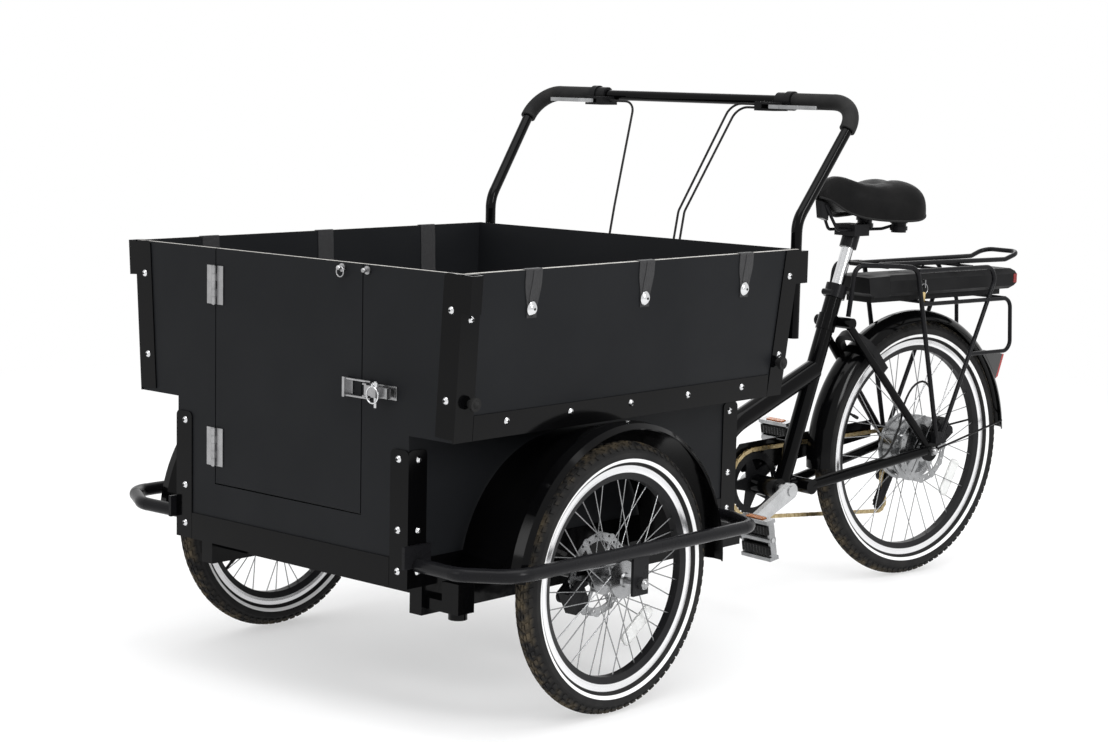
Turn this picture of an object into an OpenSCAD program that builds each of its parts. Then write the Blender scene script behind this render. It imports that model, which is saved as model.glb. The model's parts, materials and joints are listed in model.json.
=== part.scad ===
// Three-wheeled cargo bicycle: a cargo box between two front wheels, steered by a rear frame
// that turns under the box. Millimetres, +X forward, +Y to the rider's left, +Z up.

/* [Cargo box] */
// Width of the box across its top edge
box_top_w = 875; // [850:1:900]
// Width of the upper box at the step
box_step_w = 840; // [820:1:848]
// Width of the lower box between the wheels
box_low_w = 625; // [600:1:640]
// Front face of the box, ahead of the front axle
box_front = 378; // [360:1:400]
// Back of the box at and below the step, behind the front axle
box_back = 541; // [520:1:560]
// How far the back leans out from the step to the top edge
box_back_lean = 26; // [10:1:40]
// Height of the top edge
box_top_z = 819; // [780:1:860]
// Height of the step
box_step_z = 536; // [520:1:550]
// Height of the underside
box_bottom_z = 262; // [255:1:270]
// Thickness of the boards
board_t = 9; // [7:0.5:12]
// Thickness of the floor board
floor_t = 12; // [9:0.5:16]
// Half the width of the footwell between the benches
footwell_half = 205; // [200:1:230]
// Thickness of the trim profiles
trim_t = 2.5; // [1.5:0.1:3.5]
// Leg of the corner angles
angle_leg = 45; // [30:1:60]
// Height of the lower corner angles
low_angle_h = 243; // [200:1:260]
// Height of the sill profile
sill_h = 50; // [30:1:60]
// Height of the strip along each upper side
strip_h = 44; // [30:1:60]

/* [Door] */
// Right edge of the door, from the centre line
door_right = -202; // [-204:1:-180]
// Left edge of the door, from the centre line
door_left = 192; // [170:1:196]
// Lower edge of the door
door_bottom_z = 378; // [340:1:400]
// Gap round the door
door_gap = 2.5; // [1.5:0.1:4]
// Length of a hinge
hinge_len = 72; // [50:1:90]
// Width of a hinge leaf
hinge_leaf_w = 22; // [16:0.5:28]
// Diameter of the hinge knuckle
knuckle_d = 9; // [7:0.5:12]
// Diameter of the hinge pin
hinge_pin_d = 5; // [3:0.5:6]
// Height of the latch
latch_z = 601; // [560:1:640]

/* [Wheels] */
// Outside radius of the front tyres
front_r = 250; // [245:1:252]
// Width of the front tyres
front_tyre_w = 47; // [40:1:50]
// Half the distance between the front wheels
front_half_track = 460; // [455:1:470]
// Outside radius of the rear tyre
rear_r = 300; // [290:1:305]
// Width of the rear tyre
rear_tyre_w = 50; // [40:1:54]
// Tyre wall
tyre_wall = 4; // [3:0.5:6]
// Depth of the rim
rim_depth = 26; // [12:0.5:30]
// Width of the rim
rim_w = 27; // [22:0.5:32]
// Spoke diameter
spoke_d = 2.2; // [1.8:0.1:3]
// Diameter of the axles
axle_d = 12; // [10:0.5:14]
// Radius of a disc rotor
rotor_r = 80; // [70:1:90]
// Thickness of a disc rotor
rotor_t = 2; // [1.6:0.1:3]

/* [Steering and rear frame] */
// Steering pivot, behind the front axle
pivot_back = 287; // [270:1:300]
// Stored steering angle of the rear frame
steer_angle = -8.2; // [-12:0.1:12]
// Diameter of the steering pin
pivot_pin_d = 30; // [24:1:36]
// Rear axle, behind the steering pivot
rear_axle_back = 1128; // [1100:1:1150]
// Bottom bracket, behind the steering pivot
bb_back = 672; // [660:1:680]
// Height of the bottom bracket
bb_z = 251; // [240:1:260]
// Diameter of the main tube
main_tube_d = 46; // [38:1:50]
// Diameter of the seat tube
seat_tube_d = 38; // [34:0.5:42]
// Diameter of the chain stays
chainstay_d = 22; // [18:0.5:26]
// Diameter of the seat stays
seatstay_d = 18; // [14:0.5:22]
// Diameter of the seat post
seat_post_d = 27.2; // [25:0.2:30]
// Half the distance between the dropouts' centres
dropout_half = 67; // [64:1:72]

/* [Handlebar] */
// Diameter of the handlebar tube
bar_d = 22.2; // [20:0.1:25.4]
// How far the legs stand in from the box's top edge
bar_leg_inset = 19.5; // [13.5:0.5:37.5]
// Legs, behind the front axle
bar_leg_back = 582; // [580:1:590]
// Cross bar, behind the front axle
bar_top_back = 757; // [730:1:780]
// Height of the cross bar
bar_top_z = 1105; // [1060:1:1140]
// Diameter of the grips
grip_d = 33; // [30:0.5:38]

/* [Drive] */
// Crank length
crank_len = 165; // [150:1:175]
// Stored crank angle, up from straight ahead on the left side
crank_angle = -28; // [-40:1:40]
// Chain pitch
chain_pitch = 12.7; // [12.7]
// Teeth on the chainring
ring_teeth = 38; // [34:1:42]
// Teeth on the sprocket that carries the chain
cog_teeth = 18; // [17:1:20]
// Distance of the chain from the centre plane
chain_line = 45; // [44:0.5:46]

/* [Rack and battery] */
// Half the distance between the rack's legs
rack_half = 82; // [78:1:90]
// Diameter of the rack's tubes
rack_d = 11; // [8:0.5:13]
// Half the width of the battery
battery_half = 55; // [48:1:58]
// Height of the battery's underside
battery_z = 663; // [658:1:668]
// Height of the battery
battery_h = 48; // [40:1:52]

/* [Fits] */
// Gap between boards that meet
fit = 0.2; // [0.1:0.05:0.5]
// Radial clearance of running shafts
run = 0.05; // [0.02:0.01:0.1]
// Clearance between neighbours that move past each other
pass = 0.4; // [0.3:0.05:1]

/* [Hidden] */
$fn = 48;

// The part's origin is under the middle of its length
front_axle_x = 659;

gloss_black = [0.03, 0.03, 0.035];
satin_black = [0.09, 0.1, 0.11];
rubber_black = [0.06, 0.06, 0.06];
steel = [0.72, 0.73, 0.74];
chrome = [0.85, 0.86, 0.88];

// Lean of the upper boards
side_lean = atan((box_top_w - box_step_w) / 2 / (box_top_z - box_step_z));
back_lean = atan(box_back_lean / (box_top_z - box_step_z));
upper_h = box_top_z - box_step_z;
side_h = upper_h / cos(side_lean);
back_h = upper_h / cos(back_lean);
step_drop = 5;
low_half = box_low_w / 2;
inner_front = box_front - board_t - fit;

// Places across the front wheels
tyre_in = front_half_track - front_tyre_w / 2;
guard_y = front_half_track + 62;
guard_z = front_r + 60;

module in_front_frame() translate([front_axle_x, 0, 0]) children();
module in_rear_frame() translate([front_axle_x - pivot_back, 0, 0]) rotate([0, 0, steer_angle]) children();
module both_sides() {
    children();
    mirror([0, 1, 0]) children();
}

// Frame of the left upper side: x along it, z up its slope, y = 0 on its outer face
module on_left_side() translate([0, box_step_w / 2, box_step_z]) rotate([-side_lean, 0, 0]) children();
// Frame of the upper back: z up its slope, x = 0 on its outer face
module on_upper_back() translate([-box_back, 0, box_step_z]) rotate([0, -back_lean, 0]) children();
// A flat shape drawn in (y, z), as thick as t along +X
module across(t) rotate([90, 0, 90]) linear_extrude(t) children();
// A flat shape drawn in (x, z), as thick as t along -Y
module alongside(t) rotate([90, 0, 0]) linear_extrude(t) children();

// Unit vector
function unit(v) = v / norm(v);
// Distance from a corner to where its round starts
function setback(a, b, c, r) = r * tan(acos(unit(b - a) * unit(c - b)) / 2);

// Straight round bar between two points
module bar(a, b, d) {
    v = b - a;
    length = norm(v);
    translate(a) rotate([0, acos(v.z / length), atan2(v.y, v.x)]) cylinder(h = length, d = d);
}

// Round elbow at b on the way from a to c
module elbow(a, b, c, d, r) {
    u = unit(b - a);
    w = unit(c - b);
    inward = unit(w - u * (u * w));
    out = -inward;
    up = cross(out, u);
    o = b - u * setback(a, b, c, r) + inward * r;
    multmatrix([[out.x, u.x, up.x, o.x], [out.y, u.y, up.y, o.y], [out.z, u.z, up.z, o.z], [0, 0, 0, 1]])
        rotate_extrude(angle = acos(u * w)) translate([r, 0]) circle(d = d + elbow_over(d));
}

// Elbows are a little thicker than the straights that reach into them
function elbow_over(d) = d > 15 ? 0.4 : 0.04;
lap = 0.4;

// Round tube bent along points
module bent_tube(points, d, r) {
    last = len(points) - 1;
    for (i = [0 : last - 1]) {
        u = unit(points[i + 1] - points[i]);
        from = i == 0 ? 0 : setback(points[i - 1], points[i], points[i + 1], r) - lap;
        to = i == last - 1 ? 0 : setback(points[i], points[i + 1], points[i + 2], r) - lap;
        bar(points[i] + u * from, points[i + 1] - u * to, d);
    }
    for (i = [1 : last - 1]) elbow(points[i - 1], points[i], points[i + 1], d, r);
}

// Flat bar with round ends, drawn in the plane from a to b
module link_outline(a, b, wa, wb) {
    u = (b - a) / norm(b - a);
    n = [-u.y, u.x];
    translate(a) circle(d = wa);
    translate(b) circle(d = wb);
    polygon([a + n * wa / 2, a - n * wa / 2, b - n * wb / 2, b + n * wb / 2]);
}

// Upright plate outline with rounded top corners
module round_top(w, h, r) {
    square([w, h - r]);
    translate([r, 0]) square([w - 2 * r, h]);
    for (x = [r, w - r]) translate([x, h - r]) circle(r);
}

// Domed fastener head, standing on z = 0
module dome_head(d, h) rotate_extrude() intersection() {
    translate([0, h - (d * d / 4 + h * h) / (2 * h)]) circle(r = (d * d / 4 + h * h) / (2 * h));
    square([d, h]);
}

// Cargo box boards

module floor_board() color(satin_black) in_front_frame()
    translate([-box_back + board_t + fit, -low_half + board_t + fit, box_bottom_z])
        cube([inner_front + box_back - board_t - fit, box_low_w - 2 * board_t - 2 * fit, floor_t]);

front_top_half = box_top_w / 2 - fit;
front_step_half = box_step_w / 2 - step_drop * tan(side_lean) - fit;
module front_panel() color(satin_black) in_front_frame() translate([box_front - board_t, 0, 0])
    across(board_t) difference() {
        polygon([
            [-low_half, box_bottom_z], [low_half, box_bottom_z], [low_half, box_step_z - step_drop],
            [front_step_half, box_step_z - step_drop], [front_top_half, box_top_z],
            [-front_top_half, box_top_z], [-front_step_half, box_step_z - step_drop],
            [-low_half, box_step_z - step_drop]
        ]);
        translate([door_right - door_gap, door_bottom_z - door_gap])
            square([door_left - door_right + 2 * door_gap, box_top_z]);
    }

module rear_panel() color(satin_black) in_front_frame() {
    translate([-box_back, 0, 0]) across(board_t)
        translate([-low_half, box_bottom_z]) square([box_low_w, box_step_z - box_bottom_z]);
    half = box_step_w / 2 - board_t / cos(side_lean) - fit;
    grow = tan(side_lean) * upper_h;
    on_upper_back() across(board_t)
        polygon([[-half, 1], [half, 1], [half + grow, back_h], [-half - grow, back_h]]);
}

module lower_side_panels() color(satin_black) in_front_frame() both_sides()
    translate([-box_back + board_t + fit, low_half - board_t, box_bottom_z])
        cube([inner_front + box_back - board_t - fit, board_t, box_step_z - box_bottom_z]);

// Back edge of a side board at a height up its slope
function side_back(h) = -box_back - h * cos(side_lean) * tan(back_lean);

module upper_side_panels() color(satin_black) in_front_frame() both_sides() on_left_side()
    alongside(board_t) polygon([
        [inner_front, -step_drop], [inner_front, side_h], [side_back(side_h), side_h],
        [side_back(0), 0], [side_back(0), -step_drop]
    ]);

bench_t = 12;
module benches() color(satin_black) in_front_frame() both_sides()
    translate([-box_back + board_t + 2, footwell_half, box_step_z])
        cube([inner_front + box_back - board_t - 2, box_step_w / 2 - board_t - 1 - footwell_half, bench_t]);

// Trim

// Lower corner angle on the front left, with its legs on the front and side faces
module low_angle() {
    translate([0, low_half + trim_t - angle_leg, box_bottom_z]) across(trim_t)
        round_top(angle_leg, low_angle_h, 10);
    translate([trim_t - angle_leg, low_half + trim_t, box_bottom_z]) alongside(trim_t)
        round_top(angle_leg, low_angle_h, 10);
}

module upper_front_angle() on_left_side() translate([box_front, 0, 0]) {
    translate([0, trim_t - angle_leg, 0]) across(trim_t) round_top(angle_leg, side_h - 1, 10);
    translate([trim_t - angle_leg, trim_t, -step_drop]) alongside(trim_t)
        square([angle_leg, side_h + step_drop - 1]);
}

// Flat strip down the back edge of the upper side
module upper_back_strip() on_left_side() translate([0, trim_t, 0]) alongside(trim_t) polygon([
    [side_back(-step_drop), -step_drop], [side_back(-step_drop) + angle_leg, -step_drop],
    [side_back(side_h) + angle_leg, side_h - 1], [side_back(side_h), side_h - 1]
]);

side_strip_front = box_front + trim_t - angle_leg - 1;
side_strip_back = -box_back + angle_leg + 1;
module side_strip() on_left_side() translate([side_strip_back, trim_t, -step_drop])
    alongside(trim_t) square([side_strip_front - side_strip_back, strip_h]);

module sills() {
    span = box_low_w + 2 * trim_t - 2 * angle_leg - 2;
    translate([box_front, -span / 2, box_bottom_z]) cube([trim_t, span, sill_h]);
    translate([-box_back - trim_t, -span / 2, box_bottom_z]) cube([trim_t, span, sill_h]);
    length = box_front + box_back + 2 * trim_t - 2 * angle_leg - 2;
    both_sides() translate([-box_back - trim_t + angle_leg + 1, low_half, box_bottom_z])
        cube([length, trim_t, sill_h]);
}

module box_trim() color(gloss_black) in_front_frame() {
    both_sides() {
        translate([box_front, 0, 0]) low_angle();
        translate([-box_back, 0, 0]) mirror([1, 0, 0]) low_angle();
        upper_front_angle();
        upper_back_strip();
        side_strip();
    }
    sills();
}

// Sockets at the front corners and clamps for the handlebar's legs at the back ones
socket_h = 66;
socket_w = 27;
socket_d = 20;
socket_wall = 2.5;
clamp_h = 64;
clamp_z = box_top_z - clamp_h - 4;
module corner_sockets() color(gloss_black) in_front_frame() both_sides() {
    on_left_side() translate([box_front + trim_t - socket_w, trim_t, side_h - socket_h]) difference() {
        cube([socket_w, socket_d, socket_h]);
        translate([socket_wall, socket_wall, socket_wall])
            cube([socket_w - 2 * socket_wall, socket_d - 2 * socket_wall, socket_h]);
    }
    difference() {
        translate([-bar_leg_back - 18, bar_leg_half - 17, clamp_z]) cube([50, 34, clamp_h]);
        translate([-bar_leg_back, bar_leg_half, 0]) cylinder(d = bar_d + 2 * fit, h = box_top_z + clamp_h);
        on_upper_back() translate([-fit, 0, 0]) cube([200, box_top_w, side_h * 2]);
    }
}

// Fasteners

screw_d = 13;
screw_h = 4;
bolt_d = 26;
bolt_h = 6;
low_screw_z = [28, 101, 226];
high_screw_z = [65, 220];
strip_screw_n = 5;
bolt_x = [205, -99, -396];
bolt_up = 215;
strap_t = 2.4;
angle_mid = angle_leg / 2;
module low_angle_screws() {
    for (z = low_screw_z) translate([0, 0, box_bottom_z + z]) {
        translate([trim_t, low_half + trim_t - angle_mid - 3, 0]) rotate([0, 90, 0])
            dome_head(screw_d, screw_h);
        translate([trim_t - angle_mid - 3, low_half + trim_t, 0]) rotate([-90, 0, 0])
            dome_head(screw_d, screw_h);
    }
}

module panel_screws() color(chrome) in_front_frame() both_sides() {
    translate([box_front, 0, 0]) low_angle_screws();
    translate([-box_back, 0, 0]) mirror([1, 0, 0]) low_angle_screws();
    on_left_side() {
        for (z = high_screw_z) {
            translate([box_front + trim_t, -angle_mid, z]) rotate([0, 90, 0]) dome_head(screw_d, screw_h);
            translate([side_back(z) + angle_mid, trim_t, z + 12]) rotate([-90, 0, 0])
                dome_head(screw_d, screw_h);
        }
        translate([box_front - angle_mid, trim_t, high_screw_z[1] - 14]) rotate([-90, 0, 0])
            dome_head(screw_d, screw_h);
        step = (side_strip_front - side_strip_back) / strip_screw_n;
        for (i = [0 : strip_screw_n - 1])
            translate([side_strip_back + (i + 0.5) * step, trim_t, strip_h / 2]) rotate([-90, 0, 0])
                dome_head(screw_d, screw_h);
        for (x = bolt_x) translate([x, strap_t + fit, bolt_up]) rotate([-90, 0, 0])
            dome_head(bolt_d, bolt_h);
    }
}

knob_d = 24;
knob_stem_d = 14;
knob_h = 16;
knob_up = 62;
module stop_knobs() color(rubber_black) in_front_frame() both_sides() on_left_side()
    for (x = [box_front - angle_mid - 8, -box_back + angle_mid - 2]) translate([x, trim_t, knob_up])
        rotate([-90, 0, 0]) {
            cylinder(d = knob_stem_d, h = knob_h);
            translate([0, 0, knob_h - 7]) cylinder(d = knob_d, h = 7);
            translate([0, 0, knob_h]) dome_head(screw_d, screw_h);
        }

// Webbing over the top edge, down to its bolt outside and hanging inside
strap_w = 42;
strap_end_w = 26;
strap_in = 210;
module harness_straps() color(rubber_black) in_front_frame() both_sides() on_left_side()
    for (x = bolt_x) translate([x, 0, 0]) {
        translate([0, strap_t + fit, 0]) alongside(strap_t) polygon([
            [-strap_end_w / 2, bolt_up - 17], [strap_end_w / 2, bolt_up - 17],
            [strap_w / 2, side_h + 1], [-strap_w / 2, side_h + 1]
        ]);
        translate([-strap_w / 2, -board_t - fit - strap_t, side_h + fit])
            cube([strap_w, board_t + 2 * fit + 2 * strap_t, strap_t]);
        translate([-strap_w / 2, -board_t - fit - strap_t, side_h - strap_in])
            cube([strap_w, strap_t, strap_in + 1]);
    }

// Front running gear

// Broad shell from the box side out past the tyre, with a rolled outer edge
fender_t = 2.2;
fender_wall_r = front_r + 2;
fender_crown_r = front_r + 38;
fender_edge_y = front_half_track + 36;
module fender_outline() {
    y0 = low_half + trim_t + 0.3;
    y1 = tyre_in - 12;
    y2 = front_half_track + 8;
    polygon([
        [fender_wall_r, y0], [fender_crown_r - 10, y1], [fender_crown_r, y2],
        [fender_crown_r - 3, fender_edge_y - 8], [fender_crown_r - 12, fender_edge_y],
        [fender_crown_r - 12 - fender_t, fender_edge_y - fender_t],
        [fender_crown_r - 3 - fender_t, fender_edge_y - 8 - fender_t], [fender_crown_r - fender_t, y2],
        [fender_crown_r - 10 - fender_t, y1], [fender_wall_r - fender_t, y0]
    ]);
}
fender_from = 7;
fender_to = 181;
module front_fenders() color(gloss_black) in_front_frame() both_sides() translate([0, 0, front_r])
    rotate([-90, 0, 0]) rotate([0, 0, -fender_to]) rotate_extrude(angle = fender_to - fender_from)
        fender_outline();

rail_w = 30;
rail_h = 57;
rail_y = low_half - 42;
rail_front = 330;
rail_back = 584;
stub_d = 34;
stub_out = front_half_track - 46;
pivot_z0 = 150;
pivot_flange_z = 246;
sleeve_z0 = pivot_z0 + 16;
cross_h = 36;
foot_x = 300;
foot_y = low_half + 48;
foot_w = 40;
module chassis_frame() color(gloss_black) in_front_frame() {
    both_sides() {
        translate([-rail_back, rail_y, box_bottom_z - rail_h])
            cube([rail_front + rail_back, rail_w, rail_h]);
        difference() {
            translate([0, rail_y + rail_w, front_r]) rotate([-90, 0, 0])
                cylinder(d = stub_d, h = stub_out - rail_y - rail_w);
            translate([0, rail_y + rail_w + 1, front_r]) rotate([-90, 0, 0])
                cylinder(d = axle_d + 2 * fit, h = front_half_track);
            // Flat under the box
            translate([-stub_d, rail_y, box_bottom_z - fit])
                cube([2 * stub_d, low_half + trim_t + 2 - rail_y, stub_d]);
        }
    }
    for (x = [rail_front - 60, 0, -rail_back + 30])
        translate([x - 15, -rail_y, box_bottom_z - cross_h]) cube([30, 2 * rail_y, cross_h]);
    // Steering pivot plate and its pin, with a retaining collar below
    translate([-pivot_back - 60, -rail_y, pivot_flange_z])
        cube([120, 2 * rail_y, box_bottom_z - pivot_flange_z]);
    translate([-pivot_back, 0, pivot_z0]) cylinder(d = pivot_pin_d, h = box_bottom_z - pivot_z0);
    translate([-pivot_back, 0, pivot_z0]) cylinder(d = pivot_pin_d + 20, h = 15);
    // Support foot beside the left rail
    translate([foot_x - foot_w / 2, rail_y + rail_w, box_bottom_z - 45])
        cube([foot_w, foot_y + foot_w / 2 - rail_y - rail_w, 20]);
    translate([foot_x - foot_w / 2, foot_y - foot_w / 2, box_bottom_z - 45]) cube([foot_w, foot_w, 55]);
    translate([foot_x, foot_y, box_bottom_z - 57]) cylinder(d = foot_w - 6, h = 12);
}

guard_d = 25;
guard_in_y = low_half + trim_t + 6;
guard_points = [
    [362, guard_in_y, guard_z - 6], [372, guard_y - 92, guard_z - 4], [322, guard_y, guard_z],
    [-330, guard_y, guard_z], [-385, guard_y - 92, guard_z - 4], [-400, guard_in_y, guard_z - 6]
];
drop_w = 42;
drop_t = 6;
module guard_bars() color(satin_black) in_front_frame() both_sides() {
    bent_tube(guard_points, guard_d, 50);
    // Feet on the box side
    for (p = [guard_points[0], guard_points[5]])
        translate([p.x - 32, low_half + trim_t, p.z - 5]) cube([64, 7, 40]);
    // Drop plate that carries the axle's outer end
    difference() {
        translate([-drop_w / 2, guard_y - drop_t / 2, front_r - 22])
            cube([drop_w, drop_t, guard_z - front_r + 22]);
        translate([0, guard_y - drop_t, front_r]) rotate([-90, 0, 0])
            cylinder(d = axle_d + 2 * fit, h = 2 * drop_t);
    }
}

nut_d = 22;
nut_h = 10;
module front_axles() color(steel) in_front_frame() both_sides() translate([0, 0, front_r])
    rotate([-90, 0, 0]) {
    translate([0, 0, rail_y + rail_w + 1])
        cylinder(d = axle_d, h = guard_y + drop_t + nut_h - rail_y - rail_w);
    translate([0, 0, guard_y + drop_t / 2]) cylinder(d = nut_d, h = nut_h, $fn = 6);
    translate([0, 0, guard_y + drop_t / 2 + nut_h]) dome_head(axle_d + 4, 6);
}

// Wheel parts, about the wheel's own centre with the axle along Z

module tyre_ring(r, w) rotate_extrude() difference() {
    translate([r - w / 2, 0]) circle(d = w);
    translate([r - w / 2, 0]) circle(d = w - 2 * tyre_wall);
    translate([0, -w]) square([bead_r(r, w), 2 * w]);
}

// Where the tyre meets the rim
function bead_r(r, w) = r - w / 2 - sqrt(w * w - rim_w * rim_w) / 2;

module rim_ring(r, w) {
    top = bead_r(r, w) - fit;
    half = rim_w / 2;
    rotate_extrude() polygon([
        [top, -half], [top, -half + 2], [top - 6, -half + 3], [top - 6, half - 3], [top, half - 2],
        [top, half], [top - 8, half + 0.6], [top - rim_depth, 8], [top - rim_depth, -8],
        [top - 8, -half - 0.6]
    ]);
}

function rim_inner(r, w) = bead_r(r, w) - fit - rim_depth;

spoke_n = 18;
module spokes(flange_r, flange_y, rim_r, cross_angle)
    for (side = [-1, 1], j = [0 : spoke_n - 1]) {
        way = j % 2 == 0 ? 1 : -1;
        a = j * 360 / spoke_n + (side > 0 ? 180 / spoke_n : 0);
        b = a + way * cross_angle;
        bar(
            [flange_r * cos(a), flange_r * sin(a), side * (flange_y + way * 1.5)],
            [rim_r * cos(b), rim_r * sin(b), side * 3], spoke_d
        );
    }

rotor_bumps = 12;
module rotor() difference() {
    linear_extrude(rotor_t) difference() {
        union() {
            circle(rotor_r - 3);
            for (i = [0 : rotor_bumps - 1]) rotate(i * 360 / rotor_bumps) translate([rotor_r - 11, 0])
                circle(11);
        }
        difference() {
            circle(rotor_r - 18);
            circle(rotor_r * 0.36);
            for (i = [0 : 5]) rotate(i * 60) translate([12, -4.5]) square([rotor_r, 9]);
        }
        for (i = [0 : 2 * rotor_bumps - 1]) rotate((i + 0.5) * 180 / rotor_bumps)
            translate([rotor_r - (i % 2 == 0 ? 7.5 : 12), 0]) circle(2.6);
    }
    translate([0, 0, -1]) cylinder(d = rotor_bore, h = rotor_t + 2);
}
rotor_bore = 36;

// Front hub: spokes carried by its flanges, rotor on its inner end
hub_half = 32;
flange_r = 31;
flange_y = 22;
rotor_y = -38;
module front_hub() {
    difference() {
        union() {
            rotate_extrude() polygon([
                [0, -hub_half - 8], [17.8, -hub_half - 8], [17.8, -flange_y - 4],
                    [flange_r + 4, -flange_y - 3],
                [flange_r + 4, -flange_y + 3], [18, -flange_y + 8], [16, 0], [18, flange_y - 8],
                [flange_r + 4, flange_y - 3], [flange_r + 4, flange_y + 3], [14, flange_y + 6],
                [12, hub_half], [0, hub_half]
            ]);
            spokes(flange_r, flange_y, rim_inner(front_r, front_tyre_w) + 2, 60);
        }
        translate([0, 0, -100]) cylinder(d = axle_d + 2 * run, h = 200);
    }
    translate([0, 0, rotor_y]) rotor();
}

module at_front_wheel(side) in_front_frame() translate([0, side * front_half_track, front_r])
    rotate([-90, 0, 0]) scale_side(side) children();
module scale_side(side) if (side > 0) children(); else mirror([0, 0, 1]) children();

module left_front_tyre() color(rubber_black) at_front_wheel(1) tyre_ring(front_r, front_tyre_w);
module left_front_rim() color(gloss_black) at_front_wheel(1) rim_ring(front_r, front_tyre_w);
module left_front_hub() color(steel) at_front_wheel(1) front_hub();
module right_front_tyre() color(rubber_black) at_front_wheel(-1) tyre_ring(front_r, front_tyre_w);
module right_front_rim() color(gloss_black) at_front_wheel(-1) rim_ring(front_r, front_tyre_w);
module right_front_hub() color(steel) at_front_wheel(-1) front_hub();

// Caliper straddling the rotor, about the wheel's centre with the axle along Z
caliper_w = 46;
module caliper(angle, z_rotor, below, above, z_housing, arm_r, arm_z) rotate([0, 0, angle]) {
    difference() {
        translate([rotor_r - 30, -caliper_w / 2, z_rotor - below]) cube([42, caliper_w, below + above]);
        translate([0, -caliper_w, z_rotor - 1.2]) cube([rotor_r + 3, 2 * caliper_w, rotor_t + 2.4]);
    }
    translate([rotor_r - 6, 0, z_housing]) cylinder(d = 24, h = 12.5);
    // Arm back to what carries the caliper
    translate([0, 0, arm_z]) linear_extrude(6) difference() {
        link_outline([0, 0], [rotor_r - 6, 0], arm_r * 2 + 16, 26);
        circle(arm_r + fit);
    }
}

module front_calipers() color(gloss_black) in_front_frame() both_sides()
    translate([0, front_half_track, front_r]) rotate([-90, 0, 0])
        caliper(28, rotor_y, 14, 12, rotor_y - 26, stub_d / 2, rotor_y - 31);

// Handlebar

bar_bend_z = 872;
bar_foot_z = 640;
bar_bend_r = 62;
bar_leg_half = box_top_w / 2 - bar_leg_inset;
bar_top_half = bar_leg_half + 22;
bar_points = [
    [-bar_leg_back, bar_leg_half, bar_foot_z], [-bar_leg_back, bar_leg_half, bar_bend_z],
    [-bar_top_back, bar_top_half, bar_top_z], [-bar_top_back, -bar_top_half, bar_top_z],
    [-bar_leg_back, -bar_leg_half, bar_bend_z], [-bar_leg_back, -bar_leg_half, bar_foot_z]
];
module handlebar() color(gloss_black) in_front_frame() bent_tube(bar_points, bar_d, bar_bend_r);

grip_run = 165;
grip_turn = 68;
module grips() color(rubber_black) in_front_frame() both_sides() {
    corner = bar_points[2];
    down = unit(bar_points[1] - corner);
    difference() {
        bent_tube([corner + down * grip_turn, corner, corner - [0, grip_run, 0]], grip_d, bar_bend_r);
        bent_tube(
            [corner + down * (grip_turn + 9), corner, corner - [0, grip_run + 9, 0]], bar_d + 2 * fit,
                bar_bend_r
        );
    }
}

// Lever clamp on the cross bar, with a fork for the lever ahead of it
lever_y = bar_top_half - grip_run - 30;
lever_pin_ahead = 40;
lever_z = bar_top_z - 12;
blade_t = 8;
lever_pin_d = 6;
module lever_clamps() color(gloss_black) in_front_frame() both_sides()
    translate([-bar_top_back, lever_y, 0]) {
        difference() {
            union() {
                translate([0, -12, bar_top_z]) rotate([-90, 0, 0]) cylinder(d = bar_d + 12, h = 24);
                translate([0, -38, lever_z - blade_t / 2 - 5]) cube([lever_pin_ahead + 9, 50, blade_t + 10]);
            }
            translate([0, -50, bar_top_z]) rotate([-90, 0, 0]) cylinder(d = bar_d + 2 * fit, h = 100);
            translate([lever_pin_ahead - 13, -20, lever_z - blade_t / 2 - pass])
                cube([40, 60, blade_t + 2 * pass]);
        }
        translate([lever_pin_ahead, 0, lever_z - blade_t / 2 - 5])
            cylinder(d = lever_pin_d, h = blade_t + 12);
        // Control collar between the clamp and the grip
        difference() {
            translate([0, 13, bar_top_z]) rotate([-90, 0, 0]) cylinder(d = grip_d + 7, h = 15);
            translate([0, 0, bar_top_z]) rotate([-90, 0, 0]) cylinder(d = bar_d + 2 * fit, h = 60);
        }
    }

blade_len = 112;
module brake_lever() translate([-bar_top_back + lever_pin_ahead, lever_y, lever_z - blade_t / 2])
    linear_extrude(blade_t) difference() {
        union() {
            link_outline([0, 0], [10, 34], 15, 11.6);
            link_outline([10, 34], [12, 78], 13.4, 12.6);
            link_outline([12, 78], [4, blade_len], 14.4, 11);
        }
        circle(d = lever_pin_d + 2 * run);
    }
module left_brake_lever() color(steel) in_front_frame() brake_lever();
module right_brake_lever() color(steel) in_front_frame() mirror([0, 1, 0]) brake_lever();

// Brake cables from the levers, down the back of the box to the frame
cable_d = 5;
cable_start_x = -bar_top_back + 24;
cable_wall_x = -box_back - trim_t - cable_d / 2 - 0.5;
module cable(y_bar, y_wall, z) bent_tube([
    [cable_start_x, y_bar, z], [cable_start_x, y_wall + 45, z], [-bar_leg_back - 40, y_wall, bar_bend_z],
    [cable_wall_x, y_wall, box_step_z], [cable_wall_x, y_wall, box_bottom_z]
], cable_d, 32);
module brake_cables() color(rubber_black) in_front_frame() {
    cable_y = lever_y - 38;
    cable(cable_y, 84, lever_z + 3.5);
    cable(cable_y, 100, lever_z - 3.5);
    mirror([0, 1, 0]) cable(cable_y, 92, lever_z);
}

// Door

module door() color(satin_black) in_front_frame() translate([box_front - board_t, 0, 0]) across(board_t)
    translate([door_right, door_bottom_z]) square([door_left - door_right, box_top_z - door_bottom_z]);

hinge_y = door_right - door_gap / 2;
hinge_x = box_front + knuckle_d / 2 + fit;
hinge_z = [411, 715];
leaf_t = 2;
knuckle_n = 5;
knuckle_gap = 0.6;
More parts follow.
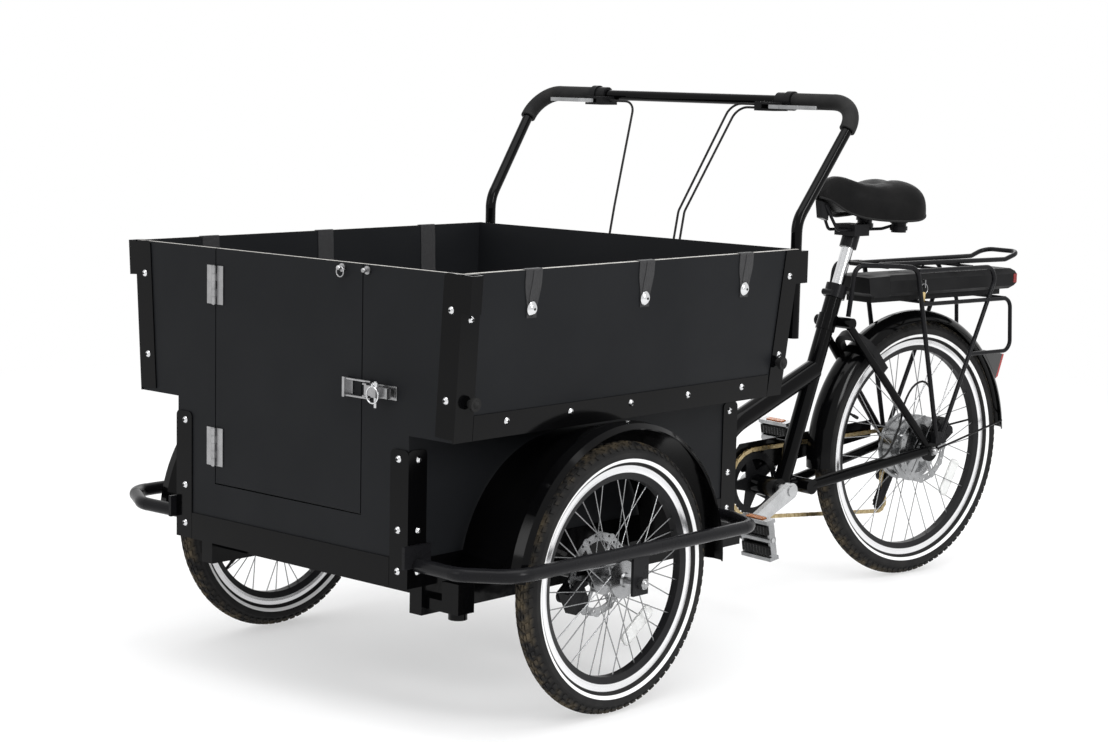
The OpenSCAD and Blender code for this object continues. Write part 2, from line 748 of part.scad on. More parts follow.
// Leaf that reaches from the pin along +Y, with every second knuckle from first
module hinge_leaf(first) {
    pitch = hinge_len / knuckle_n;
    difference() {
        union() {
            translate([-knuckle_d / 2 - fit, knuckle_d / 2 + 0.8, 0])
                cube([leaf_t, hinge_leaf_w - knuckle_d / 2, hinge_len]);
            for (i = [first : 2 : knuckle_n - 1]) translate([0, 0, i * pitch + knuckle_gap / 2]) {
                cylinder(d = knuckle_d, h = pitch - knuckle_gap);
                translate([-knuckle_d / 2 - fit, 0, 0])
                    cube([leaf_t, knuckle_d / 2 + 2, pitch - knuckle_gap]);
            }
        }
        translate([0, 0, -1]) cylinder(d = hinge_pin_d + 2 * run, h = hinge_len + 2);
    }
}

// Toggle latch: base and pin on the wall, lever over it, bail and strike on the door
latch_pin_y = door_left + 22;
latch_pin_x = box_front + 8;
latch_pin_d = 5;
lever_half = 9;
ear_t = 2.5;
lever_len = 60;
module latch_base() {
    translate([box_front, latch_pin_y - 9, latch_z - 12]) cube([2, 78, 24]);
    difference() {
        for (s = [-1, 1]) translate([box_front, latch_pin_y - 5,
            latch_z + s * (lever_half + pass + ear_t / 2) - ear_t / 2])
            cube([14, 10, ear_t]);
        translate([latch_pin_x, latch_pin_y, latch_z - 30]) cylinder(d = latch_pin_d, h = 60);
    }
    translate([latch_pin_x, latch_pin_y, latch_z - lever_half - ear_t - pass])
        cylinder(d = latch_pin_d, h = 2 * (lever_half + ear_t + pass));
}

top_catch_z = box_top_z - 10;
module catch_bolt() rotate([0, 90, 0]) {
    cylinder(d = 15, h = 3);
    cylinder(d = 7, h = 11);
    translate([0, 0, 11]) sphere(d = 9);
}

module door_hardware() color(steel) in_front_frame() {
    for (z = hinge_z) translate([hinge_x, hinge_y, z]) {
        mirror([0, 1, 0]) hinge_leaf(0);
        translate([0, 0, -1]) cylinder(d = hinge_pin_d, h = hinge_len + 2);
    }
    latch_base();
    translate([box_front, door_left + 14, top_catch_z]) catch_bolt();
}

bail_d = 4;
bail_half = lever_half + ear_t + pass + bail_d / 2 + 0.8;
bail_x = box_front + 8;
strike_y = door_left - 34;
module door_fittings() color(steel) in_front_frame() {
    for (z = hinge_z) translate([hinge_x, hinge_y, z]) hinge_leaf(1);
    // Strike plate and post, and the wire bail round it
    translate([box_front, strike_y - 8, latch_z - 15]) cube([2, 22, 30]);
    translate([box_front, strike_y - 3, latch_z - bail_half - 3]) cube([12, 6, 2 * bail_half + 6]);
    for (s = [-1, 1]) bar(
        [bail_x, strike_y, latch_z + s * bail_half], [bail_x, latch_pin_y + 10, latch_z + s * bail_half],
            bail_d
    );
    // Catch bolt with its ring at the top edge
    translate([box_front, door_left - 50, top_catch_z]) {
        catch_bolt();
        translate([7, 0, -7]) rotate([90, 0, 90]) rotate_extrude() translate([9, 0]) circle(d = 2.4);
    }
}

boss_y = latch_pin_y + 32;
ring_pin_d = 6;
ring_pin_len = 46;
module latch_lever() color(steel) in_front_frame() difference() {
    union() {
        translate([latch_pin_x, latch_pin_y, latch_z - lever_half])
            cylinder(d = latch_pin_d + 5, h = 2 * lever_half);
        translate([latch_pin_x + 1, latch_pin_y, latch_z - lever_half]) cube([3, lever_len, 2 * lever_half]);
        translate([latch_pin_x + 1, latch_pin_y + lever_len - 2, latch_z - lever_half])
            cube([9, 3, 2 * lever_half]);
        translate([latch_pin_x + 2, boss_y - 6, latch_z - lever_half]) cube([13, 12, 2 * lever_half]);
    }
    translate([latch_pin_x, latch_pin_y, latch_z - 30]) cylinder(d = latch_pin_d + 2 * run, h = 60);
    translate([latch_pin_x + 9, boss_y, latch_z - 30]) cylinder(d = ring_pin_d + 2 * run, h = 60);
}

module latch_pin() color(chrome) in_front_frame() translate([latch_pin_x + 9, boss_y, latch_z]) {
    translate([0, 0, -ring_pin_len / 2 - 4]) cylinder(d = ring_pin_d, h = ring_pin_len);
    translate([0, 0, lever_half + pass]) cylinder(d = 13, h = 8);
    // Ring hanging in front of the pin
    translate([8, 0, -4]) rotate([90, 0, 90]) rotate_extrude() translate([14.5, 0]) circle(d = 2.8);
    translate([0, 0, lever_half + pass + 4]) rotate([0, 90, 0]) cylinder(d = 5, h = 9);
}

// Rear frame

seat_low = [-702, 0, 222];
seat_dir = unit([-157, 0, 440]);
seat_tube_len = 490;
function up_seat(s) = seat_low + seat_dir * s;
bb = [-bb_back, 0, bb_z];
bb_half = 34;
spindle_d = 24;
rear_axle = [-rear_axle_back, 0, rear_r];
sleeve_z1 = pivot_flange_z - pass;
main_z = 197;
main_points = [[0, 0, main_z], [-400, 0, main_z], [-545, 0, 395], up_seat(300)];
post_bore = 330;
high_sleeve = seat_tube_len - 80;
module seat_tube_space() bar(up_seat(-4), up_seat(seat_tube_len), seat_tube_d + 2 * fit);
module main_frame() color(gloss_black) in_rear_frame() difference() {
    union() {
        bent_tube(main_points, main_tube_d, 130);
        translate([0, 0, sleeve_z0]) cylinder(d = pivot_pin_d + 24, h = sleeve_z1 - sleeve_z0);
        bar(up_seat(0), up_seat(seat_tube_len), seat_tube_d);
        translate(bb - [0, bb_half, 0]) rotate([-90, 0, 0]) cylinder(d = 44, h = 2 * bb_half);
        bar(bb, up_seat(26), 33);
        // Sleeves where the yokes of the stays meet the seat tube
        bar(up_seat(6), up_seat(46), seat_tube_d + 6);
        bar(up_seat(high_sleeve - 18), up_seat(high_sleeve + 18), seat_tube_d + 6);
    }
    translate([0, 0, 0]) cylinder(d = pivot_pin_d + 2 * run, h = 400);
    translate(bb - [0, 100, 0]) rotate([-90, 0, 0]) cylinder(d = spindle_d + 2 * run, h = 200);
    bar(up_seat(seat_tube_len - post_bore), up_seat(seat_tube_len + 50), seat_post_d + 2 * run);
}

dropout_t = 8;
low_yoke = up_seat(26) + [-56, 0, 0];
high_yoke = up_seat(high_sleeve) + [-27, 0, 0];
stay_top = high_yoke + [0, 46, -8];
stay_foot = rear_axle + [12, dropout_half, 16];
module rear_stays() color(gloss_black) in_rear_frame() difference() {
    union() {
        bar(up_seat(26), low_yoke, 30);
        bar(low_yoke + [0, -44, 0], low_yoke + [0, 44, 0], 34);
        bar(high_yoke + [0, -54, 0], high_yoke + [0, 54, 0], 25);
        both_sides() {
            bar(low_yoke + [-2, 33, 0], rear_axle + [14, dropout_half, 0], chainstay_d);
            bar(stay_top, stay_foot, seatstay_d);
            translate([rear_axle.x, dropout_half - dropout_t / 2, rear_r]) rotate([-90, 0, 0])
                cylinder(d = 50, h = dropout_t);
            translate([rear_axle.x - 36, dropout_half - dropout_t / 2, rear_r + 10])
                cube([36, dropout_t, 34]);
        }
    }
    bar(up_seat(-40), up_seat(high_sleeve + 50), seat_tube_d + 6 + 2 * fit);
    translate(rear_axle - [0, 100, 0]) rotate([-90, 0, 0]) cylinder(d = axle_d + 2 * fit, h = 200);
    // Room for the sprockets and the rotor between the dropouts
    both_sides() translate(rear_axle) rotate([-90, 0, 0]) cylinder(d = 72, h = dropout_half - dropout_t / 2);
}

module at_rear_wheel() in_rear_frame() translate(rear_axle) rotate([-90, 0, 0]) children();

module rear_axle() color(steel) at_rear_wheel() {
    reach = dropout_half + dropout_t / 2 + nut_h + 6;
    translate([0, 0, -reach]) cylinder(d = axle_d, h = 2 * reach);
    for (s = [0, 1]) mirror([0, 0, s]) {
        translate([0, 0, dropout_half + dropout_t / 2]) cylinder(d = nut_d, h = nut_h, $fn = 6);
        translate([0, 0, reach - 3]) dome_head(axle_d + 5, 8);
    }
    inside = dropout_half - dropout_t / 2;
    translate([0, 0, motor_left + pass]) cylinder(d = axle_d + 8, h = inside - motor_left - pass);
    translate([0, 0, -inside]) cylinder(d = axle_d + 8, h = inside - motor_end - pass);
}

// Motor hub with spokes, rotor on its left and sprocket carrier on its right
motor_r = 78;
motor_half = 26;
motor_end = 61;
motor_left = 54;
motor_cover = motor_half + 1;
carrier_d = 34;
spigot_d = 26;
spigot_len = 8;
rear_rotor_y = 46;
module rear_hub() color(steel) at_rear_wheel() {
    difference() {
        union() {
            rotate_extrude() polygon([
                [0, -motor_cover], [carrier_d / 2, -motor_cover], [motor_r - 22, -motor_half],
                [motor_r - 4, -motor_half + 5], [motor_r, -motor_half + 6], [motor_r, -motor_half + 10],
                [motor_r - 5, -motor_half + 12], [motor_r - 5, motor_half - 12], [motor_r, motor_half - 10],
                [motor_r, motor_half - 6], [motor_r - 4, motor_half - 5], [motor_r - 20, motor_half + 4],
                [30, motor_half + 8], [rotor_bore / 2 - 0.2, motor_half + 9],
                    [rotor_bore / 2 - 0.2, rear_rotor_y + 6],
                [14, motor_left], [0, motor_left]
            ]);
            spokes(motor_r - 2, motor_half - 8, rim_inner(rear_r, rear_tyre_w) + 2, 20);
        }
        translate([0, 0, -100]) cylinder(d = axle_d + 2 * run, h = 200);
        translate([0, 0, -motor_cover - 1]) cylinder(d = spigot_d + 2 * run, h = spigot_len + 1);
    }
    // Freewheel carrier, its spigot seated in the motor's cover
    translate([0, 0, -motor_end]) difference() {
        union() {
            cylinder(d = carrier_d, h = motor_end - motor_cover - run);
            cylinder(d = spigot_d, h = motor_end - motor_cover + spigot_len - run);
        }
        translate([0, 0, -1]) cylinder(d = axle_d + 2 * run, h = 100);
    }
    translate([0, 0, rear_rotor_y]) rotor();
}
module rear_tyre() color(rubber_black) at_rear_wheel() tyre_ring(rear_r, rear_tyre_w);
module rear_rim() color(gloss_black) at_rear_wheel() rim_ring(rear_r, rear_tyre_w);

module rear_brake() color(gloss_black) at_rear_wheel()
    caliper(215, rear_rotor_y, 9, 16, rear_rotor_y + 15.5, axle_d / 2 + 4,
        dropout_half - dropout_t / 2 - 6.2);

// Rear fender: an arched strip over the tyre
guard_r = rear_r + 22;
guard_section_r = 38;
guard_t = 2;
module rear_fender() color(gloss_black) at_rear_wheel() {
    rotate([0, 0, -176]) rotate_extrude(angle = 180) difference() {
        translate([guard_r - guard_section_r, 0]) circle(guard_section_r);
        translate([guard_r - guard_section_r, 0]) circle(guard_section_r - guard_t);
        translate([0, -100]) square([guard_edge_r, 200]);
    }
    // Stays from the dropouts to the back edge
    eye_y = dropout_half + dropout_t / 2;
    rotate([0, 0, -172]) for (s = [0, 1]) mirror([0, 0, s]) {
        translate([19, 0, eye_y]) cylinder(d = 9, h = 7);
        bar([19, 0, eye_y + 4], [guard_edge_r + 2, 0, guard_half - 1.5], 5);
    }
}
guard_edge_r = guard_r - guard_section_r + 14;
guard_half = sqrt(guard_section_r * guard_section_r - 14 * 14);

// Lamp on the back of the rear fender
lamp_angle = 148;
lamp_half = 23;
lamp_tip = [guard_r + 46, 7];
module tail_lamp() color(rubber_black) at_rear_wheel() rotate([0, 0, -lamp_angle]) difference() {
    translate([0, 0, -lamp_half]) linear_extrude(2 * lamp_half) polygon([
        [guard_r - 22, 54], [guard_r - 4, 54], lamp_tip, [guard_r + 2, -27], [guard_r - 22, -27]
    ]);
    rotate_extrude() translate([guard_r - guard_section_r, 0]) circle(guard_section_r + 0.3);
}

// Horseshoe lock behind the seat stays, open towards the axle
lock_at = stay_top * 0.7 + stay_foot * 0.3 - rear_axle;
lock_tilt = atan2(lock_at.z, lock_at.x);
lock_r = rear_r - 12;
lock_in = 40;
lock_wall = 15;
module ring_lock() color(rubber_black) in_rear_frame() translate(rear_axle) rotate([0, -lock_tilt, 0])
    translate([0, 0, seatstay_d / 2 + 0.3]) linear_extrude(18) difference() {
        union() {
            translate([lock_r + 12, 0]) circle(lock_in + lock_wall);
            translate([lock_r - 45, -lock_in - lock_wall]) square([57, 2 * lock_in + 2 * lock_wall]);
        }
        translate([lock_r + 12, 0]) circle(lock_in);
        translate([0, -lock_in]) square([lock_r + 12, 2 * lock_in]);
    }

// Seat

clamp_len = 30;
module seat_clamp() color(gloss_black) in_rear_frame() difference() {
    union() {
        bar(up_seat(seat_tube_len - clamp_len + 8), up_seat(seat_tube_len + 8), seat_tube_d + 11);
        translate(up_seat(seat_tube_len - 7) + [24, -14, 0]) rotate([-90, 0, 0]) cylinder(d = 14, h = 28);
    }
    bar(up_seat(seat_tube_len - clamp_len), up_seat(seat_tube_len + 0.2), seat_tube_d + 2 * fit);
    bar(up_seat(seat_tube_len - clamp_len), up_seat(seat_tube_len + 60), seat_post_d + 2 * run);
}

post_in = 230;
post_out = 130;
module seat_post() color(chrome) in_rear_frame()
    bar(up_seat(seat_tube_len - post_in), up_seat(seat_tube_len + post_out), seat_post_d);

// Saddle frame: clamp on the post, two rails and two bumpers under the back
post_top = up_seat(seat_tube_len + post_out);
rail_half = 22;
saddle_rail_z = post_top.z + 10;
rail_d = 7;
// Places under the saddle: distance ahead of the post's top and height over the rails
function on_saddle(ahead, y, up) = [post_top.x + ahead, y, saddle_rail_z + up];
bumper_back = 98;
bumper_h = 40;
bumper_top = 33.4;
module saddle_frame() color(gloss_black) in_rear_frame() {
    difference() {
        union() {
            translate([post_top.x - 24, -rail_half - 9, saddle_rail_z - 14])
                cube([48, 2 * rail_half + 18, 26]);
            bar(up_seat(seat_tube_len + post_out - 34), post_top, seat_post_d + 12);
        }
        bar(up_seat(seat_tube_len), up_seat(seat_tube_len + post_out + 0.2), seat_post_d + 2 * fit);
    }
    // Hook under the nose
    translate(on_saddle(0, 9, 0)) alongside(18) polygon([[112, 66], [84, 57], [88, 22], [106, 28]]);
    both_sides() {
        bent_tube([
            on_saddle(98, 8, 58), on_saddle(62, 14, 0), on_saddle(-75, rail_half, 0),
            on_saddle(-bumper_back, 48, 12)
        ], rail_d, 14);
        translate(on_saddle(-bumper_back, 52, bumper_top - bumper_h)) {
            cylinder(d = 34, h = bumper_h);
            translate([0, 0, 5]) cylinder(d = 40, h = 9);
            translate([0, 0, 21]) cylinder(d = 40, h = 9);
        }
    }
}

// Padded saddle: rings along its length, each with a crowned top and a hollow underside
saddle_ahead = 120;
saddle_len = 285;
saddle_rings = 22;
saddle_sides = 24;
// Share of the length from the nose, with half the width, the crown and the lower edge there
saddle_half_at = [[0, 9], [0.05, 20], [0.15, 27], [0.3, 40], [0.6, 92], [0.76, 106], [0.9, 98],
    [0.97, 74], [1, 44]];
saddle_crown_at = [[0, 86], [0.08, 108], [0.22, 120], [0.45, 105], [0.6, 103], [0.8, 111], [0.93, 98],
    [1, 68]];
saddle_edge_at = [[0, 74], [0.1, 64], [0.25, 40], [0.42, 24], [0.7, 20], [0.88, 26], [1, 42]];
channel_depth = 7;
function along_saddle(i) = (1 - cos(180 * i / (saddle_rings - 1))) / 2;
function saddle_channel(t, a) = channel_depth * max(0, sin(180 * (t - 0.4) / 0.6)) * pow(abs(sin(a)), 30);
function saddle_height(t, a) = let (edge = lookup(t, saddle_edge_at),
    rise = lookup(t, saddle_crown_at) - edge)
    a <= 180 ? edge + rise * pow(abs(sin(a)), 0.6) - saddle_channel(t, a)
    : edge + min(14, 0.3 * rise) * pow(abs(sin(a)), 0.3);
function saddle_point(t, a) = on_saddle(
    saddle_ahead - saddle_len * t,
    lookup(t, saddle_half_at) * sign(cos(a)) * pow(abs(cos(a)), 0.7),
    saddle_height(t, a)
);
module saddle() color(rubber_black) in_rear_frame() {
    points = [for (i = [0 : saddle_rings - 1], j = [0 : saddle_sides - 1])
        saddle_point(along_saddle(i), j * 360 / saddle_sides)];
    walls = [for (i = [0 : saddle_rings - 2], j = [0 : saddle_sides - 1])
        let (a = i * saddle_sides + j, b = i * saddle_sides + (j + 1) % saddle_sides)
        each [[a, a + saddle_sides, b], [b, a + saddle_sides, b + saddle_sides]]];
    // Ends: strips between the upper and the lower half of a ring
    half = saddle_sides / 2;
    last = (saddle_rings - 1) * saddle_sides;
    first_cap = [for (j = [0 : half - 1])
        let (u = j, v = j + 1, d = (saddle_sides - j) % saddle_sides, e = saddle_sides - j - 1)
        each [if (v != e) [u, v, e], if (d != u) [u, e, d]]];
    last_cap = [for (f = first_cap) [last + f[0], last + f[2], last + f[1]]];
    polyhedron(points, concat(walls, first_cap, last_cap));
}

// Rack, cradle and battery

deck_z = battery_z + battery_h + 18;
rack_foot = rear_axle + [-14, 0, 30];
module luggage_rack() color(gloss_black) in_rear_frame() {
    both_sides() {
        // Tongue from the upper yoke, back along the deck and down as the front leg
        bent_tube([
            high_yoke + [-8, 32, 13.5], [tongue_x, 32, deck_z + 8], [-1000, rack_half - 18, deck_z + 4],
            [front_leg_top, rack_half, deck_z], [front_leg_foot, rack_half, rack_foot.z]
        ], rack_d, 26);
        // Side rail that bends down into the back leg
        bent_tube([
            [front_leg_x(rail_z), rack_half, rail_z], [back_leg_x(rail_z), rack_half, rail_z],
            [rack_foot.x - 6, rack_half, rack_foot.z]
        ], rack_d - 0.6, 30);
        // Lower rail with the loop for bags at its back
        bent_tube([
            [front_leg_x(low_rail_z), rack_half, low_rail_z], [-1376, rack_half, low_rail_z],
            [-1384, rack_half, loop_z], [back_leg_x(loop_z), rack_half, loop_z]
        ], rack_d - 1.4, 24);
        translate([rear_axle.x - 36, dropout_half + dropout_t / 2 + 0.2, rack_foot.z - 12])
            cube([36, rack_half - dropout_half, 26]);
    }
    // Deck loop with a raised back
    bent_tube([
        [-970, 30, deck_z + 6], [loop_rise, 52, deck_z + 5], [loop_back, 54, deck_z + 21],
        [loop_back, -54, deck_z + 21], [loop_rise, -52, deck_z + 5], [-970, -30, deck_z + 6]
    ], rack_d, 26);
    bar([-976, -55, deck_z + 2], [-976, 55, deck_z + 2], rack_d - 3);
    for (x = deck_struts) {
        bar([x, -rack_half, rail_z + 3], [x, rack_half, rail_z + 3], rack_d - 4);
        for (s = [-1, 1]) bar([x, s * 40, rail_z + 2], [x, s * 40, deck_z + 5], rack_d - 5);
    }
    bar([-945, -47, deck_z + 6], [-945, 47, deck_z + 6], rack_d - 1);
    // Cross bars under the battery
    for (x = [-1100, -1360])
        bar([x, -rack_half, low_rail_z + 1], [x, rack_half, low_rail_z + 1], rack_d - 3);
}
rail_z = deck_z - 7;
low_rail_z = battery_z - 18;
loop_z = 520;
// Axes of the rack's legs at a height
tongue_x = -893;
loop_rise = -1388;
loop_back = -1440;
deck_struts = [-1110, -1235];
front_leg_top = -1045;
front_leg_foot = rack_foot.x + 8;
back_leg_top = -1335;
function leg_part(z) = (deck_z - z) / (deck_z - rack_foot.z);
function front_leg_x(z) = front_leg_top + (front_leg_foot - front_leg_top) * leg_part(z);
function back_leg_x(z) = back_leg_top + (rack_foot.x - 6 - back_leg_top) * leg_part(z);

cradle_z = battery_z - 12.8;
dock_from = -912;
dock_to = -985;
battery_from = dock_to - pass;
battery_to = -1430;
tray_half = 38;
module battery_cradle() color(satin_black) in_rear_frame() {
    translate([battery_to + 40, -tray_half, cradle_z])
        cube([dock_from - battery_to - 70, 2 * tray_half, battery_z - cradle_z]);
    rotate([90, 0, 0]) translate([0, 0, -battery_half]) linear_extrude(2 * battery_half) polygon([
        [dock_from - 8, battery_z + 10], [dock_from - 2, battery_z + battery_h - 2],
        [dock_to, battery_z + battery_h],
        [dock_to, battery_z], [dock_from - 26, battery_z]
    ]);
}

tail_t = 10;
module battery() color(satin_black) in_rear_frame() difference() {
    intersection() {
        rotate([90, 0, 0]) translate([0, 0, -battery_half]) linear_extrude(2 * battery_half) polygon([
            [battery_from, battery_z + 0.3], [battery_from, battery_z + battery_h],
            [battery_to + tail_t, battery_z + battery_h], [battery_to, battery_z + battery_h - 6],
                [battery_to, battery_z + 14], [battery_to + 20, battery_z + 0.3]
        ]);
        across_battery();
    }
    translate([key_x, battery_half - 14, key_z]) rotate([-90, 0, 0])
        cylinder(d = key_barrel_d + 2 * run, h = 40);
}
// Section of the battery with chamfered edges
module across_battery() translate([battery_to - 1, 0, 0])
    across(battery_from - battery_to + 2) polygon([
    [-battery_half + 8, battery_z], [battery_half - 8, battery_z], [battery_half, battery_z + 8],
    [battery_half, battery_z + battery_h - 12], [battery_half - 12, battery_z + battery_h],
    [-battery_half + 12, battery_z + battery_h], [-battery_half, battery_z + battery_h - 12],
    [-battery_half, battery_z + 8]
]);

key_x = -1086;
key_z = battery_z + 27;
key_barrel_d = 15;
module battery_key() color(steel) in_rear_frame() translate([key_x, 0, key_z]) {
    translate([0, battery_half - 13.5, 0]) rotate([-90, 0, 0]) cylinder(d = key_barrel_d, h = 14);
    translate([-2, battery_half, -4]) cube([2.4, 6, 8]);
    translate([0.4, battery_half + 5, 0]) rotate([0, -90, 0]) linear_extrude(2.4) difference() {
        translate([-9, 0]) square([18, 11]);
        translate([0, 7]) circle(2.5);
    }
}

// Drive

roller_r = 3.8;
plate_h = 8.4;
plate_t = 0.9;
inner_half = 1.25;
outer_half = 2.3;
pin_r = 1.75;
pulley_teeth = 11;
tooth_clear = 0.5;
function pitch_r(teeth) = chain_pitch / (2 * sin(180 / teeth));
ring_c = [-bb_back, bb_z];
cog_c = [-rear_axle_back, rear_r];
upper_c = cog_c + [14, -76];
lower_c = cog_c + [44, -134];

// Toothed disc outline whose tips stay just inside the chain's rollers
module toothed(teeth, depth) {
    tip = pitch_r(teeth) - roller_r - tooth_clear;
    polygon([for (i = [0 : teeth - 1], k = [0 : 3])
        let (a = (i + [0.08, 0.34, 0.66, 0.92][k]) * 360 / teeth, r = k == 1 || k == 2 ? tip : tip - depth)
        [r * cos(a), r * sin(a)]]);
}

// Chain path: circles in running order with the way round each, +1 for anticlockwise in (x, z)
wheels = [
    [ring_c, pitch_r(ring_teeth), -1], [lower_c, pitch_r(pulley_teeth), -1],
    [upper_c, pitch_r(pulley_teeth), 1], [cog_c, pitch_r(cog_teeth), -1]
];
wheel_n = len(wheels);
// Direction of the tangent from wheel i to the next
function leave(i) = let (
    a = wheels[i], b = wheels[(i + 1) % wheel_n], v = b[0] - a[0], d = b[2] * b[1] - a[2] * a[1]
) atan2(v.y, v.x) - asin(d / norm(v));
function touch(i, heading) = wheels[i][0] - wheels[i][2] * wheels[i][1] * [-sin(heading), cos(heading)];
function turned(i) = let (
    way = wheels[i][2], swing = way * (leave(i) - leave((i + wheel_n - 1) % wheel_n))
) swing - 360 * floor(swing / 360);
function straight(i) = norm(touch((i + 1) % wheel_n, leave(i)) - touch(i, leave(i)));
// Stretches of the path, each a straight run and then the wrap on the next wheel
runs = [for (i = [0 : wheel_n - 1]) [straight(i),
    turned((i + 1) % wheel_n) * PI / 180 * wheels[(i + 1) % wheel_n][1]]];
function sum(list, i = 0) = i >= len(list) ? 0 : list[i] + sum(list, i + 1);
path_len = sum([for (r = runs) r[0] + r[1]]);
link_n = 2 * round(path_len / (2 * chain_pitch));
link_pitch = path_len / link_n;
// Point on the path at a distance s
function path_at(s, i = 0) =
    s < runs[i][0] ? touch(i, leave(i)) + s * [cos(leave(i)), sin(leave(i))]
    : s < runs[i][0] + runs[i][1] || i == wheel_n - 1 ? let (
        k = (i + 1) % wheel_n, w = wheels[k], t = (s - runs[i][0]) / w[1] * 180 / PI
    ) touch(k, leave(i) + w[2] * t)
    : path_at(s - runs[i][0] - runs[i][1], i + 1);

module link_plates(a, b, from) for (s = [-1, 1])
    translate([0, 0, s * (from + plate_t / 2) - plate_t / 2]) linear_extrude(plate_t)
        link_outline(a, b, plate_h, plate_h);

module inner_link(a, b) difference() {
    union() {
        link_plates(a, b, inner_half);
        for (p = [a, b]) translate([p.x, p.y, -inner_half]) cylinder(r = roller_r, h = 2 * inner_half);
    }
    for (p = [a, b]) translate([p.x, p.y, -5]) cylinder(r = pin_r + 0.1, h = 10);
}
module outer_link(a, b) {
    link_plates(a, b, outer_half);
    for (p = [a, b]) translate([p.x, p.y, -outer_half - plate_t])
        cylinder(r = pin_r, h = 2 * (outer_half + plate_t));
}
// Plane of the chain: drawn in (x, z)
module in_chain_plane() translate([0, -chain_line, 0]) rotate([90, 0, 0]) children();
module chain() color([0.62, 0.52, 0.34]) in_rear_frame() in_chain_plane()
    for (i = [0 : link_n - 1]) {
        a = path_at(i * link_pitch);
        b = path_at(((i + 1) % link_n) * link_pitch);
        if (i % 2 == 0) inner_link(a, b); else outer_link(a, b);
    }

arm_t = 13;
arm_y = 60;
pedal_axle_d = 10;
pedal_len = 96;
module crank_arm() {
    linear_extrude(arm_t) link_outline([0, 0], [crank_len, 0], 36, 25);
    translate([crank_len, 0, 0]) cylinder(d = pedal_axle_d, h = arm_t + pedal_len - 4);
    translate([0, 0, arm_t]) cylinder(d = 24, h = 3);
}
ring_t = 2;
module crankset() color(steel) in_rear_frame() translate(bb) {
    translate([0, -arm_y - 1, 0]) rotate([-90, 0, 0]) cylinder(d = spindle_d, h = 2 * arm_y + 2);
    translate([0, arm_y, 0]) rotate([-90, 0, 0]) rotate([0, 0, -crank_angle]) crank_arm();
    translate([0, -arm_y, 0]) rotate([90, 0, 0]) rotate([0, 0, 180 + crank_angle]) crank_arm();
    // Chainring on a five-armed spider
    translate([0, -chain_line + ring_t / 2, 0]) rotate([90, 0, 0]) linear_extrude(ring_t) difference() {
        toothed(ring_teeth, 4);
        circle(pitch_r(ring_teeth) - 22);
    }
    translate([0, -chain_line - ring_t / 2 + 0.01, 0]) rotate([90, 0, 0]) linear_extrude(5)
        for (i = [0 : 4]) rotate(i * 72) link_outline([0, 0], [pitch_r(ring_teeth) - 16, 0], 40, 16);
    translate([0, -arm_y, 0]) rotate([-90, 0, 0]) cylinder(d = 38, h = arm_y - chain_line);
}

// Pedal: cage plates round a barrel, with rubber treads
pedal_w = 90;
pedal_tilt = 80;
pedal_h = 26;
module pedal_body() difference() {
    union() {
        cylinder(d = 20, h = pedal_len - 8);
        for (z = [0, pedal_len - 14]) translate([-pedal_w / 2, -8, z]) cube([pedal_w, 16, 6]);
        for (s = [-1, 1]) translate([s * (pedal_w / 2 - 4) - 4, -pedal_h / 2, 0])
            cube([8, pedal_h, pedal_len - 8]);
        for (s = [-1, 1], t = [-1, 1]) translate([s * pedal_w / 4 - 9, t * 9 - 3, 4])
            cube([18, 6, pedal_len - 16]);
    }
    translate([0, 0, -1]) cylinder(d = pedal_axle_d + 2 * run, h = pedal_len + 2);
}
pedal_gap = 2;
// Place of the left pedal on the crank, from the bottom bracket
pedal_at = [crank_len * cos(crank_angle), arm_y + arm_t + pedal_gap, crank_len * sin(crank_angle)];
module left_pedal() color(steel) in_rear_frame() translate(bb + pedal_at) rotate([-90, 0, 0])
    rotate([0, 0, -pedal_tilt]) pedal_body();
module right_pedal() color(steel) in_rear_frame() translate(bb - pedal_at) rotate([90, 0, 0])
    rotate([0, 0, pedal_tilt]) pedal_body();

// Sprocket set: toothed discs on a sleeve, smallest outside
cog_list = [for (i = [-3 : 3]) cog_teeth - 2 * i];
cog_step = 5;
cog_t = 1.9;
module sprockets() color(steel) in_rear_frame() translate([cog_c.x, -chain_line, cog_c.y])
    rotate([90, 0, 0]) difference() {
    union() {
        for (i = [0 : 6]) translate([0, 0, (i - 3) * cog_step - cog_t / 2]) linear_extrude(cog_t)
            toothed(cog_list[i], 3);
        translate([0, 0, -3 * cog_step]) cylinder(d = carrier_d + 7, h = 6 * cog_step);
    }
    translate([0, 0, -50]) cylinder(d = carrier_d + 2 * run, h = 100);
}

pulley_pin_d = 6;
pulley_t = 2;
module pulley(c) in_rear_frame() in_chain_plane() translate(c) difference() {
    union() {
        translate([0, 0, -pulley_t / 2]) linear_extrude(pulley_t) toothed(pulley_teeth, 3);
        translate([0, 0, -4]) cylinder(d = 12, h = 8);
    }
    translate([0, 0, -10]) cylinder(d = pulley_pin_d + 2 * run, h = 20);
}
module upper_pulley() color(rubber_black) pulley(upper_c);
module lower_pulley() color(rubber_black) pulley(lower_c);

